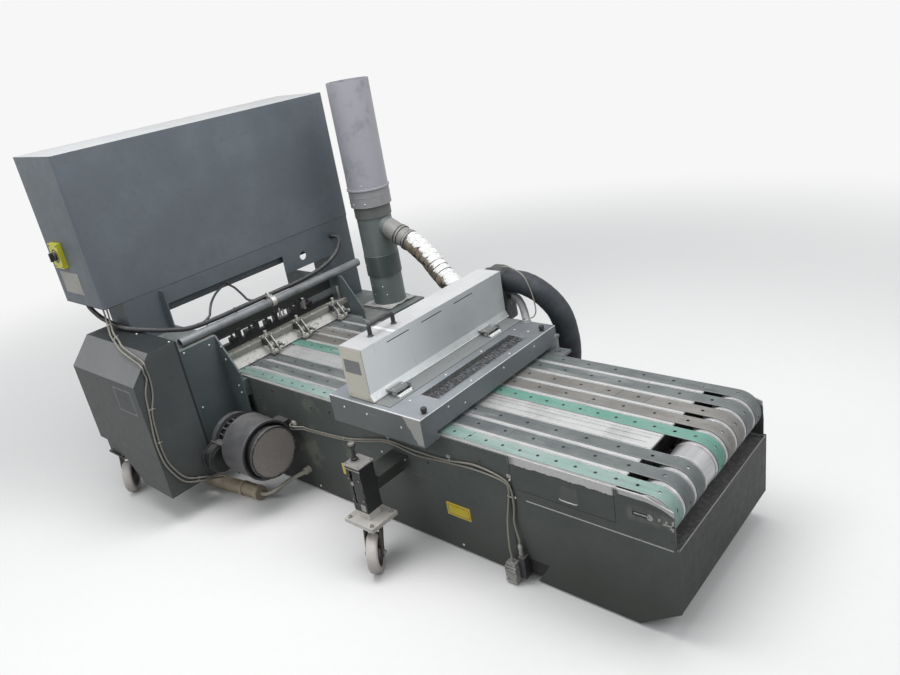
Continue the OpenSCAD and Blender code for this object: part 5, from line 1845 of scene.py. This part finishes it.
# %% Thin cables
CABLE_R = 4.0
ROUTE_Y = -5.5
PLUG_TOP, PIN_TOP = 92, 170
SENSOR_A = [(-1882, -14.8, 340), (-1882, -26, 340), (-1868, -32, 340), (-1842, -22, 341), (-1812, ROUTE_Y - 1, 341),
            (-1760, ROUTE_Y, 342), (-1520, ROUTE_Y, 362), (-1383, ROUTE_Y, 393), (-1240, ROUTE_Y, 426),
            (-1090, ROUTE_Y, 410), (-930, ROUTE_Y, 424), (-783, ROUTE_Y, 434), (-660, ROUTE_Y, 424),
            (-637, ROUTE_Y - 1, 395), (-646, ROUTE_Y - 3, 330), (-655, ROUTE_Y - 12, 250), (-649, ROUTE_Y - 28, 160),
            (-642, ROUTE_Y - 32, 110), (-642, ROUTE_Y - 32, PLUG_TOP + 0.8)]
SENSOR_B = [(-1882, -14.8, 358), (-1882, -26, 358), (-1868, -33, 357), (-1842, -24, 355), (-1812, ROUTE_Y - 1, 353),
            (-1760, ROUTE_Y, 352), (-1520, ROUTE_Y, 372), (-1383, ROUTE_Y, 403), (-1240, ROUTE_Y, 436),
            (-1090, ROUTE_Y, 430), (-930, ROUTE_Y, 434), (-783, ROUTE_Y, 454), (-656, ROUTE_Y, 434),
            (-626, ROUTE_Y - 1, 395), (-622, ROUTE_Y - 2, 330), (-630, ROUTE_Y - 4, 260), (-620, ROUTE_Y - 9, 212),
            (-612, ROUTE_Y - 12.5, 190), (-612, ROUTE_Y - 12.5, PIN_TOP + 0.8)]
HX = -2207 + CABLE_R + 2
HOUSE_A = [(-2700, -330, 967.2), (-2700, -330, 950), (-2686, -336, 915), (-2640, -360, 866), (-2560, -392, 857),
           (-2480, -414, 846), (-2400, -434, 829), (-2250, -450, 808), (-2218, -454, 805), (HX + 5, -456, 791),
           (HX + 1, -455, 765), (HX, -452, 735), (HX, -478, 672), (HX, -491, 579), (HX, -506, 467), (HX, -506, 383),
           (HX, -492, 300), (HX + 2, -440, 200), (HX + 8, -345, 152), (-2226, -290, 118), (-2250, -255, 92),
           (-2262, -228, 77)]
HOUSE_B = [(-2700, -314, 967.2), (-2700, -314, 950), (-2686, -320, 918), (-2640, -344, 872), (-2560, -376, 864),
           (-2480, -398, 857), (-2400, -420, 842), (-2250, -436, 822), (-2218, -440, 819), (HX + 5, -442, 805),
           (HX + 1, -441, 775), (HX, -438, 735), (HX, -448, 660), (HX, -478, 579), (HX, -490, 467), (HX, -490, 383),
           (HX, -476, 305), (HX + 2, -426, 212), (HX + 8, -333, 164), (-2226, -276, 128), (-2250, -241, 102),
           (-2262, -212, 81)]
cable_skin = moulded("old pale cable", (0.23, 0.22, 0.185), 0.42, dust=0.35, dust_colour=(0.19, 0.175, 0.14),
                     round_by=0)


def cable_pair(*routes):
    def build(bm):
        for route in routes:
            tube(bm, even_route(smooth_route(route, 10), 7), CABLE_R, 12)
    return build


piece("panel_cables", cable_pair(SENSOR_A, SENSOR_B), cable_skin, covers=["sensor_cables"])
piece("house_cables", cable_pair(HOUSE_A, HOUSE_B), cable_skin, covers=["housing_cables"])


def tie(bm, a, b):
    """A cable tie round two cables, with its locking head and cut end."""
    a, b = Vector(a), Vector(b)
    middle = (a + b) / 2
    long_way = (b - a).normalized()
    along = Vector((0, -1, 0)) if abs(long_way.y) < 0.7 else Vector((1, 0, 0))
    half = (b - a).length / 2 + CABLE_R
    loop = []
    for k in range(25):
        t = 2 * math.pi * k / 24
        loop.append(middle + long_way * half * math.cos(t) * 1.04 + along * (CABLE_R + 0.8) * math.sin(t))
    tube(bm, loop, 1.35, 6, caps=False)
    head = middle + along * (CABLE_R + 1.4) + long_way * half * 0.4
    tube(bm, [head - long_way * 3, head + long_way * 3], 2.6, 6)
    tube(bm, [head, head + along * 4 + long_way * 14], 1.0, 6)


def cable_ties(bm):
    tie(bm, (HX, -487, 600), (HX, -472, 600))
    tie(bm, (HX, -497, 440), (HX, -495, 440))
    tie(bm, (HX + 6, -380, 171), (HX + 6, -371, 182))
    tie(bm, (-2520, -402, 852), (-2520, -388, 860))
    tie(bm, (-1520, ROUTE_Y, 362), (-1520, ROUTE_Y, 372))
    tie(bm, (-640, ROUTE_Y - 2, 370), (-624, ROUTE_Y - 2, 370))


piece("cable_ties", cable_ties, old_white)
print("thin cables laid")

# %% [markdown]
# The cables end in real fittings: a domed gland in the panel, small saddle
# clips, a socket block with a metal plug in it and a thin round plug beside it.

# %% Gland, clips and plugs
def fittings(bm):
    turned(bm, (-1882, 0, 348), FRONT, [(0, 20), (4, 20), (5, 17.5), (8, 17), (12, 14.5), (14, 9), (14, 0)], 28, 1)
    for x in (-1240, -915, -632):
        block(bm, (x - 9.5, -2.6, 443), (x + 9.5, 0.2, 457.5))
        dome_screw(bm, (x - 4, -2.6, 450.5), FRONT, 3.4)
        plate(bm, [(x + 2, -2.6, 443), (x + 9, -2.6, 443), (x + 9, -9.6, 438), (x + 2, -9.6, 438)], (0, -0.3, -1),
              1.4)
    block(bm, (-617.5, -33.5, 24.5), (-590.5, 0.2, 119.5), 2)
    turned(bm, (-612, -18, 119), UP, [(0, 8.9), (10, 8.9), (11, 8), (30, 8), (31, 8.9), (44, 8.9), (51, 5.5)], 20)
    block(bm, (-667.5, -57.5, 6), (-618.2, -16.5, 78))
    block(bm, (-663, -53, 78), (-622, -21, 91.8))
    for z in (14, 66):
        tube(bm, [(-668, -60, z), (-617, -60, z)], 1.6, 8)
    for x in (-660, -626):
        dome_screw(bm, (x, -57.5, 40), FRONT, 3.6)
        block(bm, (x - 4, -60.4, 12), (x + 4, -57.4, 30))
    turned(bm, (-642, -37.5, 91.5), UP, [(0, 9), (0.9, 8.4), (1.1, 4.4)], 20, closed=False)


plug_metal = bare_metal("plug metal", (0.36, 0.355, 0.34), 0.42, brushed=(1, 1, 1), metal=0.4, stain=0.8,
                        dirt=(0.04, 0.04, 0.038))
piece("cable_fittings", fittings, [plug_metal, old_white, black_paint], covers=["cable_plugs"],
      bevel=0.0006)
print("fittings done")

# %% [markdown]
# The main cable of the cabinet is sheathed in a black spiral hose. It leaves the
# cabinet's underside, runs along the pale pipe and goes back up to a beam. A
# thinner loop beside it climbs to the cable tray.

# %% Main cable of the cabinet
MAIN = [(-2960, -290, 967.2), (-2960, -290, 944), (-2944, -291, 912), (-2850, -298, 880), (-2749, -300, 864),
        (-2605, -300, 853), (-2444, -262, 853), (-2378, -203, 838), (-2368, -106, 808), (-2368, 40, 798),
        (-2368, 200, 798), (-2368, 370, 798), (-2368, 572, 799), (-2372, 719, 812), (-2402, 850, 836),
        (-2462, 955, 862), (-2530, 1020, 880), (-2580, 1034, 886), (-2608.2, 1034, 886)]
LOOP = [(-2386.4, -60, 803), (-2386.4, -20, 801), (-2392, 20, 815), (-2404, 40, 838), (-2440, 78, 858),
        (-2510, 150, 866),
        (-2590, 240, 862), (-2636, 296, 852), (-2590, 306, 838), (-2510, 285, 827), (-2440, 262, 820),
        (-2402, 252, 812),
        (-2387, 272, 799), (-2386.2, 310, 798)]
hose_black = moulded("spiral hose", (0.030, 0.031, 0.034), 0.42, dust=0.45, dust_colour=(0.15, 0.145, 0.14),
                     round_by=0)


def main_cable(bm):
    ribbed(bm, MAIN, 12, 5.2, 1.2, 14, 12)
    tube(bm, even_route(smooth_route(LOOP, 10), 8), 6, 12)
    for spot, axis in (((-2960, -290, 968), (0, 0, -1)), ((-2609, 1034, 886), OUT)):
        turned(bm, spot, axis, [(0, 19), (7, 19), (8, 16), (18, 15), (22, 11.5)], 6, closed=False)


piece("main_cable", main_cable, hose_black, covers=["cabinet_cable"])


def cable_straps(bm):
    for y in (-20, 150, 560, 700):
        ring = [(-2368 + 13.2 * math.cos(t), y,
                 798 + 13.2 * math.sin(t)) for t in [2 * math.pi * k / 20 for k in range(21)]]
        tube(bm, ring, 1.4, 6, caps=False)


piece("cable_straps", cable_straps, black_plastic)
print("main cable sheathed")

# %% [markdown]
# The exhaust stack is made of plastic drain pipes pushed into each other, each of
# a slightly different grey. The shade therefore depends on the height alone, with
# soft smears of soot at the joints. Rings, beads and small screws are geometry.

# %% Stack of plastic pipes
STACK = (-2280, 1100)
JOINTS = [670, 788, 1010, 1075, 1166]
# The lowest grey is lighter than that pipe's own grey: a painted highlight that makes up for the shade of the cabinet
# and tower on it.
SHADES = [(0.135, 0.160, 0.160), (0.059, 0.072, 0.072), (0.112, 0.132, 0.128), (0.105, 0.110, 0.105),
          (0.240, 0.240, 0.248), (0.310, 0.310, 0.340)]


def pipe_plastic():
    f = Finish("pipe plastic")
    x, y, z = f.xyz()
    colour = SHADES[0]
    for height, shade in zip(JOINTS, SHADES[1:]):
        colour = f.mix(z > height * MM, colour, shade)
    out = (x - x_at(STACK[0])).math("POWER", 2.0) + (y - at(0, STACK[1], 0).y).math("POWER", 2.0)
    branch = (out > 0.0150) * (z > 0.75)
    colour = f.mix(branch * (z < 1.05), colour, (0.215, 0.210, 0.200))
    soot = f.noise(9, 5, 0.65)
    streaks = f.noise(20, 4, 0.6, stretch=(1, 1, 0.12))
    colour = f.mix(soot.step(0.5, 0.75) * 0.35, colour, (0.045, 0.043, 0.038))
    colour = f.mix(streaks.step(0.55, 0.75) * 0.2, colour, (0.24, 0.23, 0.21))
    fine = f.noise(260, 2, 0.5)
    return f.surface(colour, (soot * 0.25 + 0.34).clip(), 0.0, fine + streaks, 0.00012, round_by=0.0015)


stack_plastic = pipe_plastic()
dress("exhaust_stack", stack_plastic)


def stack_rings(bm):
    for z, r, h in ((667, 99.4, 7), (786, 99.2, 5), (1008, 102.4, 5), (1072, 114.2, 5), (1128, 114.9, 4)):
        turned(bm, (*STACK, z), UP, [(0, r - 3), (h * 0.2, r), (h * 0.5, r + 0.9), (h * 0.8, r), (h, r - 3)], 72,
               closed=False)


piece("stack_rings", stack_rings, stack_plastic)
bead_grey = moulded("pale bead", (0.34, 0.335, 0.325), 0.4, dust=0.2, round_by=0)


def stack_bead(bm):
    turned(bm, (*STACK, 1165), UP, [(0, 113.4), (1.5, 117.5), (4.5, 119.2), (7.5, 117.8), (9.4, 112.8)], 72,
           closed=False)


piece("stack_bead", stack_bead, bead_grey)


def stack_screws(bm):
    for z, r, turns in ((610, 94, (215, 250, 300)), (560, 94, (222, 262, 310)), (1095, 114, (225, 262, 300)),
                        (1195, 113, (232, 300)), (735, 100, (245,))):
        for t in turns:
            a = math.radians(t)
            out = (math.cos(a), math.sin(a), 0)
            spot = (STACK[0] + r * out[0], STACK[1] + r * out[1], z)
            dome_screw(bm, spot, out, 4.5)


piece("stack_screws", stack_screws, bright_zinc)

# %% [markdown]
# Under the stack lies a bent sheet collar, an old piece of tin that was beaten to
# fit. Its rim waves up and down, which a grid with a few sine terms and a little
# noise gives well.

# %% Beaten collar under the stack
def beaten_collar(bm):
    rings = 9
    around = 96
    grid = []
    for r in range(rings):
        share = r / (rings - 1)
        line = []
        for k in range(around):
            t = 2 * math.pi * k / around
            c, s = math.cos(t), math.sin(t)
            inner = 95.0
            square = 1.0 / max(abs(c), abs(s))
            outer_x, outer_y = 116.0 * square * c, 112.0 * square * s
            outer_x = max(-114.0, min(98.0, outer_x))
            x = inner * c * (1 - share) + outer_x * share
            y = inner * s * (1 - share) + outer_y * share
            wave = noise.noise(Vector((x * 0.018, y * 0.018, 3.1))) * 11 + noise.noise(Vector((x * 0.06, y * 0.06,
                                                                                               7))) * 3
            z = 486 + 14 * (1 - share) ** 3 + share * (6 + wave)
            line.append(bm.verts.new(at(STACK[0] + x, STACK[1] + y, max(z, 484.4))))
        grid.append(line)
    low = [[bm.verts.new(v.co - Vector((0, 0, 0.0016))) for v in line] for line in grid]
    for sheet in (grid, low):
        for a, b in zip(sheet, sheet[1:]):
            for k in range(around):
                n = (k + 1) % around
                bm.faces.new([a[k], a[n], b[n], b[k]])
    for k in range(around):
        n = (k + 1) % around
        bm.faces.new([grid[-1][k], grid[-1][n], low[-1][n], low[-1][k]])
        bm.faces.new([grid[0][k], grid[0][n], low[0][n], low[0][k]])


old_tin = bare_metal("old tin", (0.48, 0.48, 0.46), 0.45, brushed=(1, 1, 1), metal=0.25, stain=0.5,
                     dirt=(0.17, 0.15, 0.12))
piece("stack_collar", beaten_collar, old_tin)
print("stack dressed")

# %% [markdown]
# The branch hose was patched over the years. The upper side is pale foil that has
# set in folds about four centimetres apart, the underside is a torn brown wrap
# with black patches where it is open. The folds are in the mesh, and the finish
# picks its colour from the way a face points, broken up by noise.

# %% Patched branch hose
def wrap_finish():
    f = Finish("patched wrap")
    nx, ny, nz = f.facing()
    ragged = f.noise(22, 5, 0.7)
    small = f.noise(75, 4, 0.7)
    up_side = (nz * 0.9 + nx * 0.35 + (ragged - 0.5) * 0.9 - 0.42).step(0.0, 0.10)
    foil = f.mix(small.step(0.35, 0.7), (0.74, 0.74, 0.74), (0.50, 0.495, 0.485))
    wrap = f.mix(ragged.step(0.4, 0.62), (0.185, 0.155, 0.110), (0.10, 0.082, 0.060))
    holes = f.noise(15, 3, 0.6, offset=(3, 1, 2)).step(0.57, 0.60)
    wrap = f.mix(holes, wrap, (0.016, 0.014, 0.013))
    colour = f.mix(up_side, wrap, foil)
    colour = f.mix(small.step(0.62, 0.72) * 0.5, colour, (0.09, 0.08, 0.07))
    return f.surface(colour, (0.62 - up_side * 0.18).clip(), 0.0, small + ragged, 0.0010, round_by=0)


wrap = wrap_finish()
TILT = math.radians(115)
BRANCH_END = Vector((STACK[0] + 282.3 * math.sin(TILT), STACK[1], 990 + 282.3 * math.cos(TILT)))
ALONG = Vector((math.sin(TILT), 0, math.cos(TILT)))
BOX_MOUTH = Vector((-1343.3, 891, 720))
BRANCH_ROUTE = [BRANCH_END, BRANCH_END + ALONG * 14, (-1900, 1085, 800), (-1754, 1052, 690), (-1590, 990, 652),
                BOX_MOUTH - Vector((95, -22, 16)), BOX_MOUTH - Vector((45, 0, 0)), BOX_MOUTH]


def branch_hose(bm):
    line = even_route(smooth_route(BRANCH_ROUTE, 10), 4.0)
    far = len(line)

    def radius_at(i, n):
        fold = (i * 4.0 + 9 * noise.noise(Vector((i * 0.05, 0, 0)))) % 40.0
        pinch = math.exp(-((fold - 20) / 3.2) ** 2) * 4.6
        return 57.6 - pinch - 2.2 * abs(noise.noise(Vector((i * 0.11, 5.0, 0))))

    tube(bm, line, 58, 40, 0, radius_at)
    for v in bm.verts:
        p = v.co * 26
        middle = noise.noise(p)
        v.co += Vector((noise.noise(p + Vector((9, 0, 0))), middle, noise.noise(p + Vector((0, 9, 0))))) * 0.0016
    print("hose rings:", far)


piece("branch_hose_skin", branch_hose, wrap, covers=["branch_hose"])


def branch_clamps(bm):
    base = Vector((STACK[0], STACK[1], 990))
    for d, r, w in ((196, 59.8, 9), (214, 59.8, 5), (258, 59.8, 12), (272, 60, 5)):
        spot = base + ALONG * d
        turned(bm, spot, ALONG, [(0, r - 3), (0.8, r), (w - 0.8, r), (w, r - 3)], 48, closed=False)
    for d in (200, 263):
        spot = base + ALONG * d + Vector((0, -60.5, 0))
        turned(bm, spot, UP, [(-9, 3.5), (9, 3.5), (9, 0)], 10)


piece("branch_clamps", branch_clamps, black_plastic)
print("branch hose patched")

# %% [markdown]
# At the far end of the lamp two hoses meet in a black rubber hood. A rounded box
# is bent out of a cube: each point keeps its place on a smaller inner box and is
# then pushed out by the radius, which gives perfect round edges, and noise
# crumples the skin inwards.

# %% Rubber hood and black hose
def soft_box(bm, low, high, r, crumple, cuts=14):
    centre, half = (Vector(low) + Vector(high)) / 2, (Vector(high) - Vector(low)) / 2
    corners = {}

    def corner(i, j, k):
        if (i, j, k) not in corners:
            p = Vector([half[n] * (2 * c / cuts - 1) for n, c in enumerate((i, j, k))])
            inner = Vector([max(-half[n] + r, min(half[n] - r, p[n])) for n in range(3)])
            away = p - inner
            q = inner + (away.normalized() * r if away.length > 0 else away)
            spot = at(*(centre + q))
            fold = abs(noise.noise(spot * 18.0)) + 0.5 * abs(noise.noise(spot * 18.0 * 2.3))
            corners[i, j, k] = bm.verts.new(spot - q.normalized() * fold * crumple * MM)
        return corners[i, j, k]

    for axis in range(3):
        for end in (0, cuts):
            for a in range(cuts):
                for b in range(cuts):
                    quad = []
                    for da, db in ((0, 0), (1, 0), (1, 1), (0, 1)):
                        key = [a + da, b + db]
                        key.insert(axis, end)
                        quad.append(corner(*key))
                    bm.faces.new(quad)


hood_rubber = moulded("hood rubber", (0.030, 0.031, 0.033), 0.5, dust=0.35, dust_colour=(0.17, 0.165, 0.155),
                      round_by=0,
                      depth=0.0004, grain=420)


def hood(bm):
    soft_box(bm, (-1342, 832.5, 660), (-1218.5, 949.5, 867.5), 34, 9)
    soft_box(bm, (-1338, 836, 600.5), (-1222, 946, 700), 18, 4, cuts=8)
    soft_box(bm, (-1322.5, 811, 601), (-1219, 850, 645), 10, 2, cuts=6)


piece("hood", hood, hood_rubber, covers=["lamp_duct_box"])

HOSE_START = Vector((-1217.7, 891, 800))
BLACK_ROUTE = [HOSE_START + Vector(step) for step in (
    (0, 0, 0), (14, 0, 0), (86, 4, -6), (166, 16, -48), (232, 34, -130), (260, 44, -240), (262, 40, -370),
    (228, 10, -510), (160, -40, -620))] + [(-1105, TABLE_W + 44, 130), (-1105, TABLE_W + 0.3, 130)]


def hose_finish():
    f = Finish("dusty black hose")
    nx, ny, nz = f.facing()
    clouds = f.noise(11, 5, 0.65)
    fine = f.noise(130, 3, 0.6)
    colour = f.mix(clouds.step(0.4, 0.75), (0.018, 0.021, 0.026), (0.030, 0.034, 0.040))
    dusty = (nz * 0.5 + nx * 0.25 + 0.1).clip() * clouds.step(0.25, 0.7)
    colour = f.mix(dusty * 0.25, colour, (0.16, 0.165, 0.17))
    colour = f.mix(fine.step(0.6, 0.75) * 0.3, colour, (0.13, 0.125, 0.12))
    return f.surface(colour, (clouds * 0.2 + 0.50).clip(), 0.0, fine + clouds, 0.0006, round_by=0, specular=0.3)


dusty_hose = hose_finish()


def black_hose(bm):
    line = even_route(smooth_route(BLACK_ROUTE, 10), 5.0)

    def radius_at(i, n):
        wave = 0.25 * math.sin(i * 0.9) + 1.3 * noise.noise(Vector((i * 0.07, 2, 0)))
        return 53.4 + wave

    tube(bm, line, 55, 40, 0, radius_at)


piece("black_hose_skin", black_hose, dusty_hose, covers=["black_hose"])


def elbow(bm):
    ribbed(bm, [(-1216, 905, 722), (-1180, 890, 716), (-1146, 868, 700), (-1112, 838, 676), (-1088, 812, 660),
                (-1078, 806, 650.5)], 18.5, 13.0, 6.0, 20, 8)
    turned(bm, (-1078, 800, 650), UP, [(0, 21), (4, 21), (5, 19.5), (12, 19.5), (13, 17)], 28, closed=False)


elbow_grey = moulded("grey elbow", (0.33, 0.335, 0.335), 0.35, dust=0.35, round_by=0)
piece("ribbed_elbow", elbow, elbow_grey)


def bonding_wire(bm):
    route = [(-1240, 880, 868.5), (-1200, 868, 878), (-1150, 858, 872), (-1106, 852, 850), (-1078, 848, 806),
             (-1062, 846, 760), (-1052, 843, 715), (-1050, 838, 684), (-1060, 828, 664), (-1074, 816, 662)]
    tube(bm, even_route(smooth_route(route, 8), 5), 3.0, 10)


piece("bonding_wire", bonding_wire, cable_skin)
print("hood and hoses done")

# %% [markdown]
# The cabinet is a plain big box, and what makes it real is small: a thin dark seam
# over its bottom edge, a blank type card with four pins, and the main switch with
# its yellow plate. Its doors are at the back, where the finish draws their gaps.

# %% Cabinet seam and card
cab_low, cab_high = span("cabinet")


def cabinet_seams(bm):
    x0, y0, z0 = cab_low
    x1, y1, z1 = cab_high
    t = 0.25
    block(bm, (x1 - 0.5, y0 + 14, z0 + 1.0), (x1 + t, y1 - 14, z0 + 3.2))
    block(bm, (x0 + 14, y0 - t, z0 + 1.0), (x1 - 14, y0 + 0.5, z0 + 3.2))


piece("cabinet_seams", cabinet_seams, dark_slot, smooth=False)


blank_card = moulded("blank type card", (0.30, 0.295, 0.27), 0.45, dust=0.5, dust_colour=(0.17, 0.17, 0.16))


piece("blank_card", lambda bm: block(bm, (-2953, cab_low.y - 1.2, 1024), (-2767, cab_low.y + 0.2, 1132)),
      blank_card, bevel=0.0008)


def card_frame(bm):
    y0 = cab_low.y
    for x in (-2947, -2773):
        for z in (1030, 1126):
            turned(bm, (x, y0 - 1.2, z), FRONT, [(0, 2.6), (0.9, 2.3), (1.4, 0)], 12)


piece("card_pins", card_frame, bright_zinc)

# %% [markdown]
# The main switch has a black rotary knob with a grip bar. Only the knob turns, so
# it rides on its own body and the plate stays on the machine.

# %% Main switch
SWITCH_Y = span("isolator_plate")[0].y
KNOB = (-2880, 1218)


def switch_plate(bm):
    y = SWITCH_Y
    x, z = KNOB
    turned(bm, (x, y, z), FRONT, [(0, 34), (0.25, 34), (0.25, 26)], 48, closed=False)
    for dx in (-36, 36):
        for dz in (-50, 50):
            dome_screw(bm, (x + dx, y, z + dz), FRONT, 4)


piece("switch_ring", switch_plate, black_plastic)


def switch_knob(bm):
    y = SWITCH_Y - 0.3
    x, z = KNOB
    turned(bm, (x, y, z), FRONT, [(0, 20.6), (1, 21), (9, 21), (12, 19), (13.6, 16), (13.9, 0)], 48)
    outline = [(x - 5, y - 13, z - 19), (x - 5, y - 13, z + 19), (x - 3, y - 13, z + 21), (x + 3, y - 13, z + 21),
               (x + 5, y - 13, z + 19), (x + 5, y - 13, z - 19), (x + 3, y - 13, z - 21), (x - 3, y - 13, z - 21)]
    plate(bm, outline, FRONT, 14.8)


piece("switch_knob", switch_knob, black_plastic, body="knob", covers=["isolator_knob"],
      bevel=0.0008)
print("cabinet and switch done")

# %% [markdown]
# The side housing is screwed together from folded sheets, with screws on its top.
# A dark seam shows where it meets the tower.

# %% Side housing details
HOUSE_X1 = span("side_housing")[1].x


def house_screws(bm):
    for x, y in ((-2230, -290), (-2760, -290), (-2500, -300)):
        dome_screw(bm, (x, y, 840), UP, 5.5)


piece("house_screws", house_screws, bright_zinc)
piece("tower_seam", lambda bm: block(bm, (HOUSE_X1 - 0.5, -281, 152), (HOUSE_X1 + 0.25, -270.5, 838)),
      dark_slot, smooth=False)
print("housing done")
